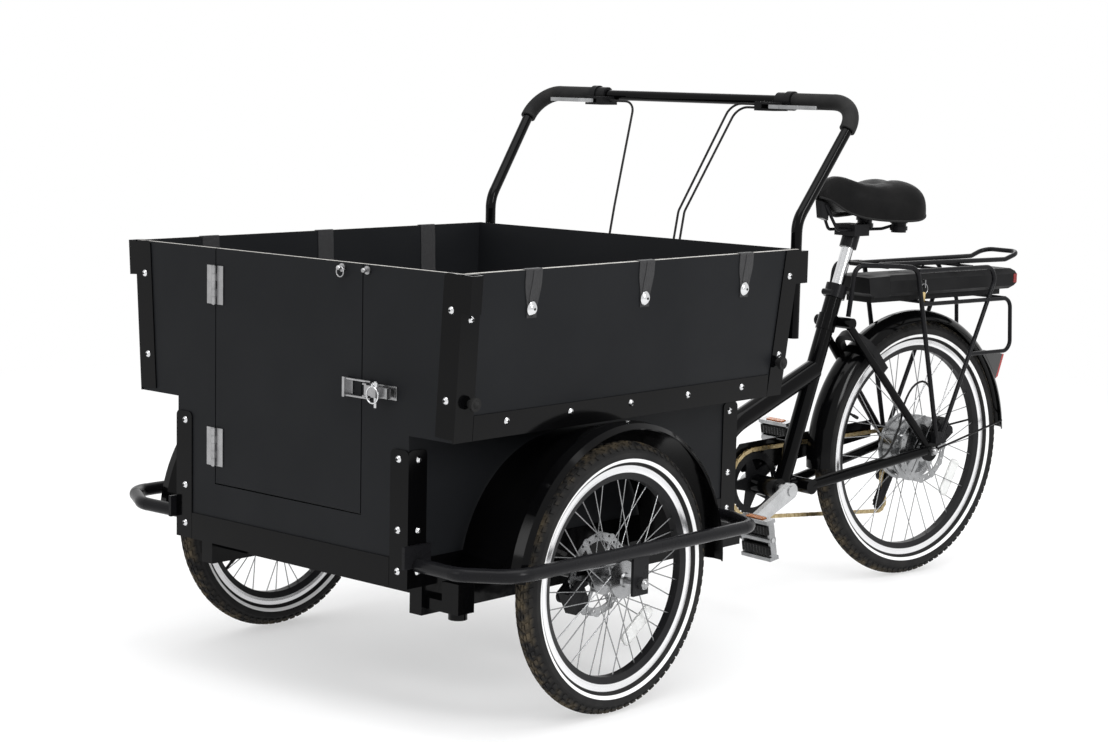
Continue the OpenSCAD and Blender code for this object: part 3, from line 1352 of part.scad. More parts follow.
// Derailleur: hanger from the dropout, knuckle and the cage that holds the pulleys
cage_in = 4.6;
cage_t = 2;
module derailleur() color(gloss_black) in_rear_frame() in_chain_plane() {
    for (s = [-1, 1]) translate([0, 0, s * (cage_in + cage_t / 2) - cage_t / 2]) linear_extrude(cage_t)
        link_outline(upper_c, lower_c, 24, 20);
    for (c = [upper_c, lower_c]) translate([c.x, c.y, -cage_in - cage_t])
        cylinder(d = pulley_pin_d, h = 2 * (cage_in + cage_t));
    knuckle_z = cage_in + cage_t;
    translate([upper_c.x, upper_c.y, knuckle_z]) cylinder(d = 26, h = 14);
    hanger_z = dropout_half - chain_line - dropout_t / 2;
    translate([0, 0, hanger_z]) linear_extrude(dropout_t) difference() {
        link_outline(cog_c + [0, -28], upper_c, 24, 26);
        translate(cog_c) circle(d = 50 + 2 * fit);
    }
}

// Flat guard outside the upper run of the chain
guard_plate_y = arm_y - 7;
guard_bolt = [up_seat(128).x, 0, 342];
module chain_guard() color(gloss_black) in_rear_frame() {
    up = pitch_r(ring_teeth) + 14;
    translate([0, -guard_plate_y, 0]) rotate([90, 0, 0]) linear_extrude(2) polygon([
        ring_c + [70, up - 34], ring_c + [40, up], ring_c + [-40, up + 4], cog_c + [70, 62],
            cog_c + [70, 22],
        ring_c + [-60, 30], ring_c + [30, 26]
    ]);
    // Bolt to the seat tube above the chain
    difference() {
        bar(guard_bolt, guard_bolt - [0, guard_plate_y + 1, 0], 7);
        seat_tube_space();
    }
}

chassis_frame();
floor_board();
front_panel();
rear_panel();
lower_side_panels();
upper_side_panels();
benches();
box_trim();
corner_sockets();
panel_screws();
stop_knobs();
harness_straps();
front_fenders();
guard_bars();
front_axles();
front_calipers();
handlebar();
grips();
lever_clamps();
brake_cables();
door_hardware();
door();
door_fittings();
latch_lever();
latch_pin();
left_brake_lever();
right_brake_lever();
left_front_tyre();
left_front_rim();
left_front_hub();
right_front_tyre();
right_front_rim();
right_front_hub();
rear_tyre();
rear_rim();
rear_hub();
main_frame();
rear_stays();
rear_axle();
rear_fender();
luggage_rack();
battery_cradle();
seat_clamp();
chain();
derailleur();
chain_guard();
rear_brake();
ring_lock();
tail_lamp();
seat_post();
saddle_frame();
saddle();
battery();
battery_key();
crankset();
left_pedal();
right_pedal();
sprockets();
upper_pulley();
lower_pulley();
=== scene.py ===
import json
import math

import bmesh
import bpy
from mathutils import Matrix, Vector


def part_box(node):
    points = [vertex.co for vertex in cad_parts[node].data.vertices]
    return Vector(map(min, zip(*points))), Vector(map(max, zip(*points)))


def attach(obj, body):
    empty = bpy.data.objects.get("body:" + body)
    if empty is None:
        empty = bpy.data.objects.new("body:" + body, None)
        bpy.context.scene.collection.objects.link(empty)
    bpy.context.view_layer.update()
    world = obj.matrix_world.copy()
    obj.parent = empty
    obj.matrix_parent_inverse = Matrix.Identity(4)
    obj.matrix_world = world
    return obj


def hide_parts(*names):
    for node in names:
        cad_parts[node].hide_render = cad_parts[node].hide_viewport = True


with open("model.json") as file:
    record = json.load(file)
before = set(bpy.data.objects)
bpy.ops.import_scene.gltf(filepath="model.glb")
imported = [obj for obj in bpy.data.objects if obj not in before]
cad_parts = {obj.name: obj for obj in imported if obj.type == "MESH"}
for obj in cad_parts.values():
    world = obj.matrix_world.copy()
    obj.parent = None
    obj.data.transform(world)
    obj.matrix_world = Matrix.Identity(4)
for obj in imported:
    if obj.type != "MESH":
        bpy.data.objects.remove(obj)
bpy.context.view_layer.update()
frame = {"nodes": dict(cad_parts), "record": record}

scene = bpy.context.scene
nodes = frame["nodes"]

# Places shared with the CAD model, in millimetres
MM = 0.001
FRONT_AXLE_X = 659.0
PIVOT_X = 372.0
STEER_DEG = -8.2
HALF_TRACK = 460.0
FRONT_R = 250.0
FRONT_TYRE_W = 47.0
REAR_R = 300.0
REAR_TYRE_W = 50.0
REAR_AXLE_BACK = 1128.0
RIM_W = 27.0

FRONT = Matrix.Translation((FRONT_AXLE_X * MM, 0.0, 0.0))
REAR = Matrix.Translation((PIVOT_X * MM, 0.0, 0.0)) @ Matrix.Rotation(math.radians(STEER_DEG), 4, "Z")
LEFT_WHEEL = FRONT @ Matrix.Translation((0.0, HALF_TRACK * MM, FRONT_R * MM))
RIGHT_WHEEL = FRONT @ Matrix.Translation((0.0, -HALF_TRACK * MM, FRONT_R * MM))
REAR_WHEEL = REAR @ Matrix.Translation((-REAR_AXLE_BACK * MM, 0.0, REAR_R * MM))


# Procedural looks

COAT_ROUGHNESS = 0.04
METAL_GRAIN = 700.0
# Values between which nearly all of a noise texture lies
NOISE_LOW = 0.3
NOISE_HIGH = 0.7
# Softness of the line between two looks on one surface, in metres
LINE_SOFT = 0.0003


class Look:
    """A procedural material under construction."""

    def __init__(self, name, roughness=0.5, metallic=0.0, coat=0.0, specular=0.5):
        self.material = bpy.data.materials.new(name)
        self.material.use_nodes = True
        self.tree = self.material.node_tree
        self.shader = self.tree.nodes["Principled BSDF"]
        self.shader.inputs["Roughness"].default_value = roughness
        self.shader.inputs["Metallic"].default_value = metallic
        self.shader.inputs["Specular IOR Level"].default_value = specular
        self.shader.inputs["Coat Weight"].default_value = coat
        self.shader.inputs["Coat Roughness"].default_value = COAT_ROUGHNESS
        self.coords = self.add("ShaderNodeTexCoord").outputs["Object"]

    def add(self, kind, sockets=None, **settings):
        node = self.tree.nodes.new(kind)
        for key, value in settings.items():
            setattr(node, key, value)
        for key, value in (sockets or {}).items():
            self.put(node.inputs[key], value)
        return node

    def put(self, socket, value):
        if isinstance(value, bpy.types.NodeSocket):
            self.tree.links.new(value, socket)
        else:
            socket.default_value = value

    def set(self, name, value):
        self.put(self.shader.inputs[name], value)
        return self

    def math(self, operation, *values):
        node = self.add("ShaderNodeMath", operation=operation)
        for socket, value in zip(node.inputs, values):
            self.put(socket, value)
        return node.outputs[0]

    def vector(self, operation, *values, out="Vector"):
        node = self.add("ShaderNodeVectorMath", operation=operation)
        for socket, value in zip(node.inputs, values):
            self.put(socket, value)
        return node.outputs[out]

    def spread(self, value, low, high, to_low=0.0, to_high=1.0):
        sockets = {"Value": value, "From Min": low, "From Max": high, "To Min": to_low, "To Max": to_high}
        return self.add("ShaderNodeMapRange", sockets).outputs["Result"]

    def noise(self, scale, detail=3.0, stretch=(1.0, 1.0, 1.0)):
        where = self.vector("MULTIPLY", self.coords, stretch)
        sockets = {"Vector": where, "Scale": scale, "Detail": detail}
        return self.add("ShaderNodeTexNoise", sockets).outputs["Fac"]

    def wander(self, noise, low=0.0, high=1.0):
        """Noise stretched to run between two values."""
        return self.spread(noise, NOISE_LOW, NOISE_HIGH, low, high)

    def wave(self, value, rate):
        return self.math("SINE", self.math("MULTIPLY", value, rate))

    def part(self, vector, axis):
        return self.add("ShaderNodeSeparateXYZ", {"Vector": vector}).outputs[axis]

    def mix(self, factor, first, second):
        """Colour between two others; the node's colour sockets share their names, so they go by number."""
        node = self.add("ShaderNodeMix", data_type="RGBA")
        self.put(node.inputs["Factor"], factor)
        self.put(node.inputs[6], first)
        self.put(node.inputs[7], second)
        return node.outputs[2]

    def bump(self, height, strength, distance):
        sockets = {"Height": height, "Strength": strength, "Distance": distance}
        return self.set("Normal", self.add("ShaderNodeBump", sockets).outputs["Normal"])

    def mottle(self, dark, light, scale):
        """Base colour that wanders between two tones."""
        return self.mix(self.wander(self.noise(scale)), tint(dark), tint(light))

    def band(self, value, low, high, soft=LINE_SOFT):
        """One between low and high, zero outside."""
        rise = self.spread(value, low - soft, low + soft)
        fall = self.spread(value, high - soft, high + soft, 1.0, 0.0)
        return self.math("MULTIPLY", rise, fall)

    def from_axle(self, centre, axis):
        """Distance from a wheel's axis, in metres."""
        offset = self.vector("SUBTRACT", self.coords, tuple(centre))
        length = self.vector("LENGTH", offset, out="Value")
        along = self.vector("DOT_PRODUCT", offset, tuple(axis), out="Value")
        square = self.math("SUBTRACT", self.math("MULTIPLY", length, length),
                           self.math("MULTIPLY", along, along))
        return self.math("SQRT", square)


def tint(rgb):
    return (rgb[0], rgb[1], rgb[2], 1.0)


PANEL_DARK = (0.0072, 0.0078, 0.009)
PANEL_LIGHT = (0.0096, 0.0103, 0.0116)
BOARD_EDGE = (0.33, 0.32, 0.3)
BOARD_EDGE_FROM = 0.8
BOARD_EDGE_SOFT = 0.002
BOARD_SPECULAR = 0.08
PAINT_SPECULAR = 0.1
DULL_SPECULAR = 0.12
COVER_SPECULAR = 0.05


def board_look():
    """Film-faced board, with the pale cut of its upper edge above a height."""
    look = Look("panel_board", specular=BOARD_SPECULAR)
    face = look.mottle(PANEL_DARK, PANEL_LIGHT, 3.0)
    geometry = look.add("ShaderNodeNewGeometry")
    upward = look.spread(look.part(geometry.outputs["True Normal"], "Z"), 0.8, 0.9)
    height = look.part(look.coords, "Z")
    above = look.spread(height, BOARD_EDGE_FROM, BOARD_EDGE_FROM + BOARD_EDGE_SOFT)
    cut = look.math("MULTIPLY", upward, above)
    plies = look.spread(look.noise(60.0, 4.0, (1.0, 1.0, 0.2)), 0.35, 0.65, 0.75, 1.1)
    edge = look.vector("SCALE", BOARD_EDGE)
    look.put(edge.node.inputs["Scale"], plies)
    look.set("Base Color", look.mix(cut, face, edge))
    look.set("Roughness", look.wander(look.noise(9.0), 0.4, 0.52))
    look.bump(look.noise(1400.0, 2.0), 0.12, 0.0004)
    return look.material


def paint_look(name, dark, light, roughness, ripple=0.0):
    look = Look(name, specular=PAINT_SPECULAR)
    look.set("Base Color", look.mottle(dark, light, 5.0))
    look.set("Roughness", look.wander(look.noise(14.0, 4.0), roughness * 0.85, roughness * 1.2))
    if ripple:
        look.bump(look.noise(260.0, 2.0), ripple, 0.0003)
    return look.material


def metal_look(name, dark, light, roughness, brush=None):
    look = Look(name, metallic=1.0)
    look.set("Base Color", look.mottle(dark, light, 40.0))
    rub = look.noise(METAL_GRAIN, 3.0, brush or (1.0, 1.0, 1.0))
    look.set("Roughness", look.wander(rub, roughness * 0.75, roughness * 1.3))
    if brush:
        look.bump(rub, 0.08, 0.0002)
    return look.material


def matt_look(name, dark, light, roughness, grain, depth):
    look = Look(name, specular=DULL_SPECULAR)
    look.set("Base Color", look.mottle(dark, light, 30.0))
    look.set("Roughness", look.wander(look.noise(25.0), roughness * 0.9, roughness * 1.1))
    look.bump(look.noise(grain, 3.0), depth, 0.0006)
    return look.material


RIM_BAND_IN = 13.5
RIM_BAND_OUT = 0.6
RIM_BAND_SOFT = 0.0004
RIM_METAL = (0.82, 0.82, 0.83)
RIM_RINGS = 9000.0


def rim_look(name, wheel, bead):
    """Black rim with a machined brake track round its outer edge."""
    look = Look(name, specular=PAINT_SPECULAR)
    away = look.from_axle(wheel.translation, wheel.col[1].to_3d())
    track = look.band(away, (bead - RIM_BAND_IN) * MM, (bead - RIM_BAND_OUT) * MM, RIM_BAND_SOFT)
    black = look.mottle((0.012, 0.012, 0.013), (0.017, 0.017, 0.018), 20.0)
    look.set("Base Color", look.mix(track, black, tint(RIM_METAL)))
    look.set("Metallic", track)
    look.set("Roughness", look.spread(look.wave(away, RIM_RINGS), -1.0, 1.0, 0.27, 0.36))
    return look.material


STRIPE_IN = 6.0
STRIPE_OUT = 12.5
STRIPE_WHITE = (0.86, 0.86, 0.86)
DUST_IN = 13.0
DUST_OUT = 1.0
DUST = (0.105, 0.083, 0.052)


def tyre_look(name, bead, outer):
    """Dusty rubber with a pale reflective stripe on each side wall; the wheel's axis is local Y."""
    look = Look(name, specular=DULL_SPECULAR)
    away = look.from_axle((0.0, 0.0, 0.0), (0.0, 1.0, 0.0))
    stripe = look.band(away, (bead + STRIPE_IN) * MM, (bead + STRIPE_OUT) * MM)
    rubber = look.mottle((0.011, 0.011, 0.0115), (0.019, 0.0185, 0.018), 25.0)
    tread = look.spread(away, (outer - DUST_IN) * MM, (outer - DUST_OUT) * MM)
    dust = look.math("MULTIPLY", tread, look.spread(look.noise(45.0, 5.0), 0.42, 0.66, 0.0, 0.85))
    dusty = look.mix(dust, rubber, tint(DUST))
    look.set("Base Color", look.mix(stripe, dusty, tint(STRIPE_WHITE)))
    look.set("Roughness", look.spread(stripe, 0.0, 1.0, 0.74, 0.35))
    look.bump(look.noise(600.0, 4.0), 0.25, 0.0006)
    return look.material


WEAVE_PITCH = 0.0016


def webbing_look():
    """Woven strap; u runs across it and v along it, in metres."""
    look = Look("webbing", roughness=0.82, specular=DULL_SPECULAR)
    uv = look.add("ShaderNodeTexCoord").outputs["UV"]
    rate = 2.0 * math.pi / WEAVE_PITCH
    weave = look.math("MULTIPLY", look.wave(look.part(uv, "X"), rate), look.wave(look.part(uv, "Y"), rate))
    lit = look.spread(weave, -1.0, 1.0)
    look.set("Base Color", look.mix(lit, tint((0.008, 0.008, 0.009)), tint((0.022, 0.022, 0.024))))
    look.set("Sheen Weight", 0.25)
    look.bump(weave, 0.5, 0.0003)
    return look.material


def saddle_look():
    look = Look("saddle_cover", specular=COVER_SPECULAR)
    look.set("Base Color", look.mottle((0.0045, 0.0045, 0.0048), (0.007, 0.0068, 0.0068), 18.0))
    cells = look.add("ShaderNodeTexVoronoi", {"Vector": look.coords, "Scale": 620.0})
    look.set("Roughness", look.wander(look.noise(60.0), 0.42, 0.58))
    look.bump(cells.outputs["Distance"], 0.35, 0.0005)
    return look.material


def chain_look():
    look = Look("oiled_chain", metallic=1.0)
    look.set("Base Color", look.mottle((0.3, 0.22, 0.11), (0.56, 0.46, 0.27), 160.0))
    look.set("Roughness", look.wander(look.noise(220.0), 0.26, 0.5))
    return look.material


PLASTIC_CLEAR = 0.6
PLASTIC_IOR = 1.49
# How much the painted glint lifts the colour
PAINTED_GLINT = 1.25


def clear_look(name, colour, ribs):
    """Moulded reflector plastic with a prism pattern inside, and a painted glint: the colour is brighter
    towards the middle of each prism cell.
    """
    look = Look(name, roughness=0.12)
    spots = look.add("ShaderNodeTexVoronoi", {"Vector": look.coords, "Scale": ribs})
    # Painted glint: the colour is lifted towards the middle of each cell, standing in for the light the
    # prisms catch.
    painted_glint = look.spread(spots.outputs["Distance"], 0.1, 0.6)
    glint_colour = tuple(min(1.0, c * PAINTED_GLINT) for c in colour)
    look.set("Base Color", look.mix(painted_glint, tint(glint_colour), tint(colour)))
    look.set("Transmission Weight", PLASTIC_CLEAR)
    look.set("IOR", PLASTIC_IOR)
    look.bump(spots.outputs["Distance"], 0.5, 0.0008)
    return look.material


RING_BLACK = (0.007, 0.007, 0.0075)
RING_FROM = -51.5
RING_TO = -43.5


def crank_look():
    """Polished arms with a black chainring and spider, told apart by their place along the spindle."""
    look = Look("crank_metal", specular=PAINT_SPECULAR)
    spindle = REAR.to_3x3() @ Vector((0.0, 1.0, 0.0))
    middle = REAR.translation.dot(spindle)
    along = look.vector("DOT_PRODUCT", look.coords, tuple(spindle), out="Value")
    ring = look.band(along, middle + RING_FROM * MM, middle + RING_TO * MM)
    arms = look.mottle((0.42, 0.425, 0.43), (0.52, 0.525, 0.53), 40.0)
    look.set("Base Color", look.mix(ring, arms, tint(RING_BLACK)))
    look.set("Metallic", look.math("SUBTRACT", 1.0, ring))
    look.set("Roughness", look.wander(look.noise(METAL_GRAIN), 0.2, 0.34))
    return look.material


LENS_RIBS = 1800.0
# Shaded and lit tones of the red, for the painted light and shade of the lens's ribs
LENS_RIB_SHADE = (0.2, 0.006, 0.006)
LENS_RIB_LIT = (0.36, 0.012, 0.01)
LAMP_CASE = (0.012, 0.012, 0.012)


def lens_look(direction, limit):
    """Red lens beyond a distance along a direction, black case behind it; its ribs are painted as lit and
    shaded bands of the red.
    """
    look = Look("tail_lamp_lens", roughness=0.16, coat=0.6)
    along = look.vector("DOT_PRODUCT", look.coords, tuple(direction), out="Value")
    lens = look.spread(along, limit - LINE_SOFT, limit + LINE_SOFT)
    # Painted light and shade: the ribs are only bands of a lit and a shaded red, with no shape of their own.
    ribs = look.spread(look.wave(look.part(look.coords, "Z"), LENS_RIBS), -1.0, 1.0)
    red = look.mix(ribs, tint(LENS_RIB_SHADE), tint(LENS_RIB_LIT))
    look.set("Base Color", look.mix(lens, tint(LAMP_CASE), red))
    return look.material


looks = {
    "panel_black": board_look(),
    "gloss_black": paint_look("gloss_paint", (0.0012, 0.0012, 0.0014), (0.002, 0.002, 0.0022), 0.11),
    "satin_black": paint_look("satin_paint", (0.006, 0.006, 0.007), (0.009, 0.009, 0.01), 0.26, 0.04),
    "steel": metal_look("brushed_steel", (0.3, 0.3, 0.305), (0.4, 0.4, 0.405), 0.3, (1.0, 1.0, 0.08)),
    "chrome": metal_look("chrome_plate", (0.6, 0.605, 0.615), (0.68, 0.685, 0.695), 0.09),
    "silver": metal_look("silver_metal", (0.25, 0.254, 0.258), (0.35, 0.354, 0.36), 0.26),
    "black_plastic": matt_look("black_plastic", (0.0045, 0.0045, 0.005), (0.007, 0.007, 0.0075), 0.48,
                               900.0, 0.15),
    "rubber": matt_look("black_rubber", (0.01, 0.01, 0.0105), (0.017, 0.0168, 0.0165), 0.66, 500.0, 0.25),
    "webbing": webbing_look(),
    "saddle": saddle_look(),
    "chain": chain_look(),
}

BEAD_FRONT = FRONT_R - FRONT_TYRE_W / 2 - math.sqrt(FRONT_TYRE_W ** 2 - RIM_W ** 2) / 2
BEAD_REAR = REAR_R - REAR_TYRE_W / 2 - math.sqrt(REAR_TYRE_W ** 2 - RIM_W ** 2) / 2

rim_looks = {
    "left_front_rim": rim_look("left_front_rim", LEFT_WHEEL, BEAD_FRONT),
    "right_front_rim": rim_look("right_front_rim", RIGHT_WHEEL, BEAD_FRONT),
    "rear_rim": rim_look("rear_rim", REAR_WHEEL, BEAD_REAR),
}

# The lens is the face of the lamp that looks back and a little down
LENS_DEPTH = 0.006
LENS_DOWN = math.radians(20.3)
lamp_way = REAR.to_3x3() @ Vector((-math.cos(LENS_DOWN), 0.0, -math.sin(LENS_DOWN)))
lamp_limit = max(v.co.dot(lamp_way) for v in nodes["tail_lamp"].data.vertices) - LENS_DEPTH
node_looks = dict(rim_looks, crankset=crank_look(), tail_lamp=lens_look(lamp_way, lamp_limit))

SHARP_ANGLE = math.radians(32.0)


def shade(mesh):
    """Smooth shading that keeps the edges above an angle sharp."""
    work = bmesh.new()
    work.from_mesh(mesh)
    for edge in work.edges:
        edge.smooth = len(edge.link_faces) == 2 and edge.calc_face_angle(math.pi) < SHARP_ANGLE
    for face in work.faces:
        face.smooth = True
    work.to_mesh(mesh)
    work.free()


for part in frame["record"]["subparts"]:
    node = nodes[part["node"]]
    node.data.materials.clear()
    node.data.materials.append(node_looks.get(part["node"], looks.get(part["material_slot"])))


# Pieces

def piece(name, points, faces, look, body, matrix=None):
    """A mesh piece that rides on a body; points are in millimetres in the matrix's frame."""
    mesh = bpy.data.meshes.new(name)
    mesh.from_pydata([Vector(p) * MM for p in points], [], faces)
    mesh.update()
    obj = bpy.data.objects.new(name, mesh)
    scene.collection.objects.link(obj)
    if matrix is not None:
        obj.matrix_world = matrix
    mesh.materials.append(look)
    work = bmesh.new()
    work.from_mesh(mesh)
    bmesh.ops.recalc_face_normals(work, faces=work.faces)
    work.to_mesh(mesh)
    work.free()
    shade(mesh)
    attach(obj, body)
    return obj


def clamp(value):
    return min(1.0, max(0.0, value))


def smooth_step(t):
    return t * t * (3 - 2 * t)


def turns(count):
    """Angles that divide a full turn evenly."""
    return [2 * math.pi * k / count for k in range(count)]


def add_grid(points, faces, rows, close_rows=True):
    """Adds a grid of rows of points; each row is a ring, and the rows join in turn."""
    base = len(points)
    width = len(rows[0])
    for row in rows:
        points.extend(row)
    count = len(rows)
    for i in range(count if close_rows else count - 1):
        here = base + i * width
        there = base + (i + 1) % count * width
        for j in range(width):
            m = (j + 1) % width
            faces.append((here + j, here + m, there + m, there + j))


def add_caps(points, faces, base, ring):
    """Closes a grid that starts at base at both its ends, each a ring of that many points."""
    faces.append(tuple(reversed(range(base, base + ring))))
    faces.append(tuple(range(len(points) - ring, len(points))))


def add_box(points, faces, corners):
    """Adds a closed hexahedron: four corners of its base in turn, then the four above them."""
    base = len(points)
    points.extend(corners)
    sides = ((3, 2, 1, 0), (4, 5, 6, 7), (0, 1, 5, 4), (1, 2, 6, 5), (2, 3, 7, 6), (3, 0, 4, 7))
    faces.extend(tuple(base + i for i in side) for side in sides)


CORNER_STEPS = 6


def rounded_plate(length, width, corner, thickness, edge):
    """Points and faces of a flat plate in x, y with round corners and a small bevel; z is its thickness."""
    def outline(inset):
        ring = []
        for cx, cy, start in ((1, 1, 0), (-1, 1, 90), (-1, -1, 180), (1, -1, 270)):
            for k in range(CORNER_STEPS + 1):
                a = math.radians(start + 90.0 * k / CORNER_STEPS)
                r = corner - inset
                ring.append((cx * (length / 2 - corner) + r * math.cos(a),
                             cy * (width / 2 - corner) + r * math.sin(a)))
        return ring
    layers = ((edge, 0.0), (0.0, edge), (0.0, thickness - edge), (edge, thickness))
    rows = [[(x, y, z) for x, y in outline(inset)] for inset, z in layers]
    points, faces = [], []
    add_grid(points, faces, rows, close_rows=False)
    add_caps(points, faces, 0, len(rows[0]))
    return points, faces


def tube_rows(path, radius, sides):
    """Rings of points round a path, kept from twisting."""
    rows = []
    side = None
    for i, p in enumerate(path):
        ahead = path[min(i + 1, len(path) - 1)]
        behind = path[max(i - 1, 0)]
        way = (ahead - behind).normalized()
        if side is None:
            side = way.orthogonal().normalized()
        side = (side - way * side.dot(way)).normalized()
        other = way.cross(side)
        rows.append([p + (side * math.cos(a) + other * math.sin(a)) * radius for a in turns(sides)])
    return rows


# Tyres: a thin carcass with the blocks of its tread
TYRE_STEPS = 144
SECTION_STEPS = 22
TREAD_DEPTH = 3.0
TREAD_PITCH = 19.0
CARCASS_WALL = 3.0
CARCASS_SKIN = 0.05
TREAD_SUNK = 0.4
TREAD_EDGE = 74.0
TREAD_EASE = 8.0
BLOCK_ROOT = 0.6
BLOCK_TOP = 0.02
BLOCK_SLANT = 0.12
BLOCK_SHRINK = 0.06
BLOCK_BEVEL = 1.6
# Rows of blocks: tube angles from, to, share of the pitch and offset along it
TREAD_ROWS = (
    (-64.0, -43.0, 0.62, 0.0), (-38.0, -20.0, 0.68, 0.5), (-15.0, 2.0, 0.8, 0.15),
    (5.0, 17.0, 0.8, 0.65), (20.0, 38.0, 0.68, 0.0), (43.0, 64.0, 0.62, 0.5),
)


def tyre(name, outer, width, wheel, body, node):
    tube_r = width / 2
    middle = outer - tube_r
    seat = math.degrees(math.acos(-math.sqrt(width * width - RIM_W * RIM_W) / width))

    def at(turn, angle, rho):
        reach = middle + rho * math.cos(math.radians(angle))
        return (reach * math.cos(turn), rho * math.sin(math.radians(angle)), reach * math.sin(turn))

    def carcass(angle):
        worn = clamp((TREAD_EDGE - abs(angle)) / TREAD_EASE)
        return tube_r - CARCASS_SKIN - (TREAD_DEPTH - TREAD_SUNK) * worn

    angles = [-seat + 2 * seat * k / SECTION_STEPS for k in range(SECTION_STEPS + 1)]
    section = [(a, carcass(a)) for a in angles] + [(a, carcass(a) - CARCASS_WALL) for a in reversed(angles)]
    points, faces = [], []
    add_grid(points, faces, [[at(t, a, rho) for a, rho in section] for t in turns(TYRE_STEPS)])
    count = round(2 * math.pi * outer / TREAD_PITCH)
    pitch = 2 * math.pi / count
    for low, high, share, offset in TREAD_ROWS:
        for i in range(count):
            start = (i + offset) * pitch
            end = start + share * pitch
            slant = BLOCK_SLANT * pitch * (1 if low + high > 0 else -1)
            shrink = BLOCK_SHRINK * pitch
            base = tube_r - TREAD_DEPTH - BLOCK_ROOT
            top = tube_r - BLOCK_TOP
            corners = [
                at(start, low, base), at(end, low, base),
                at(end + slant, high, base), at(start + slant, high, base),
                at(start + shrink, low + BLOCK_BEVEL, top), at(end - shrink, low + BLOCK_BEVEL, top),
                at(end + slant - shrink, high - BLOCK_BEVEL, top),
                at(start + slant + shrink, high - BLOCK_BEVEL, top),
            ]
            add_box(points, faces, corners)
    bead = middle - math.sqrt(width * width - RIM_W * RIM_W) / 2
    obj = piece(name, points, faces, tyre_look(name, bead, outer), body, wheel)
    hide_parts(node)


tyre("left_front_tread", FRONT_R, FRONT_TYRE_W, LEFT_WHEEL, "left_front_wheel", "left_front_tyre")
tyre("right_front_tread", FRONT_R, FRONT_TYRE_W, RIGHT_WHEEL, "right_front_wheel", "right_front_tyre")
tyre("rear_tread", REAR_R, REAR_TYRE_W, REAR_WHEEL, "rear_wheel", "rear_tyre")


# Spoke reflectors and valves
reflector_look = clear_look("clear_reflector", (0.86, 0.87, 0.86), 420.0)
REFLECTOR_SIZE = (92.0, 28.0)
REFLECTOR_T = 6.5
REFLECTOR_CORNER = 9.0
REFLECTOR_EDGE = 1.0


def spoke_reflector(name, wheel, body, reach, turn_deg):
    points, faces = rounded_plate(*REFLECTOR_SIZE, REFLECTOR_CORNER, REFLECTOR_T, REFLECTOR_EDGE)
    points = [(x, z - REFLECTOR_T / 2, y + reach) for x, y, z in points]
    turn = Matrix.Rotation(math.radians(turn_deg), 4, "Y")
    piece(name, points, faces, reflector_look, body, wheel @ turn)


spoke_reflector("left_front_reflector", LEFT_WHEEL, "left_front_wheel", reach=122.0, turn_deg=-145.0)
spoke_reflector("right_front_reflector", RIGHT_WHEEL, "right_front_wheel", reach=122.0, turn_deg=70.0)
spoke_reflector("rear_reflector", REAR_WHEEL, "rear_wheel", reach=176.0, turn_deg=-120.0)


# Stem and cap of a valve: start beyond the rim's inner face, step towards the hub, number of rings, radius
VALVE_PARTS = ((4.0, 9.0, 5, 3.0), (-20.0, 5.0, 4, 4.0))
VALVE_SIDES = 14


def valve(name, wheel, body, rim_inner, turn_deg):
    points, faces = [], []
    for start, step, count, radius in VALVE_PARTS:
        path = [Vector((0.0, 0.0, rim_inner + start - step * k)) for k in range(count)]
        base = len(points)
        add_grid(points, faces, tube_rows(path, radius, VALVE_SIDES), close_rows=False)
        add_caps(points, faces, base, VALVE_SIDES)
    turn = Matrix.Rotation(math.radians(turn_deg), 4, "Y")
    piece(name, points, faces, looks["rubber"], body, wheel @ turn)


RIM_DEPTH = 26.0
valve("left_front_valve", LEFT_WHEEL, "left_front_wheel", BEAD_FRONT - RIM_DEPTH, turn_deg=65.0)
valve("right_front_valve", RIGHT_WHEEL, "right_front_wheel", BEAD_FRONT - RIM_DEPTH, turn_deg=130.0)
valve("rear_valve", REAR_WHEEL, "rear_wheel", BEAD_REAR - RIM_DEPTH, turn_deg=65.0)


# Saddle: padded cover with a channel along it and a piped seam.
# Heights are over its rails, and places along it are behind its nose.
SADDLE_NOSE = -790.4
SADDLE_RAIL_Z = 815.9
SADDLE_LEN = 285.0
SADDLE_RINGS = 72
SADDLE_SIDES = 72
# Share of the length from the nose, with half the width, the crown and the lower edge there
SADDLE_HALF = ((0.0, 9.0), (0.05, 20.0), (0.15, 27.0), (0.3, 40.0), (0.6, 92.0), (0.76, 105.5), (0.9, 97.0),
               (0.97, 73.0), (1.0, 44.0))
SADDLE_CROWN = ((0.0, 86.0), (0.08, 107.0), (0.22, 119.5), (0.45, 105.0), (0.6, 103.0), (0.8, 110.5),
                (0.93, 98.0), (1.0, 68.0))
SADDLE_EDGE = ((0.0, 74.0), (0.1, 64.0), (0.25, 40.0), (0.42, 24.3), (0.7, 20.3), (0.88, 26.0), (1.0, 42.0))

# Powers that round the cover's section, its hollow underside and the channel along its back
SADDLE_ROUND = 0.7
SADDLE_DOME = 0.6
SADDLE_LIP = 0.3
UNDER_RISE = 14.0
UNDER_SHARE = 0.3
CHANNEL_FROM = 0.3
CHANNEL_DEPTH = 7.0
CHANNEL_HALF = 15.0
SADDLE_TIP = 0.004


def eased(t, table):
    """Smooth curve through the table's points."""
    last = len(table) - 1
    i = max(k for k in range(last) if t >= table[k][0])

    def slope(k):
        before = table[max(k - 1, 0)]
        after = table[min(k + 1, last)]
        return (after[1] - before[1]) / (after[0] - before[0])

    step = table[i + 1][0] - table[i][0]
    u = (t - table[i][0]) / step
    bend = (2 * u ** 3 - 3 * u ** 2 + 1) * table[i][1] + (3 * u ** 2 - 2 * u ** 3) * table[i + 1][1]
    return bend + step * ((u ** 3 - 2 * u ** 2 + u) * slope(i) + (u ** 3 - u ** 2) * slope(i + 1))


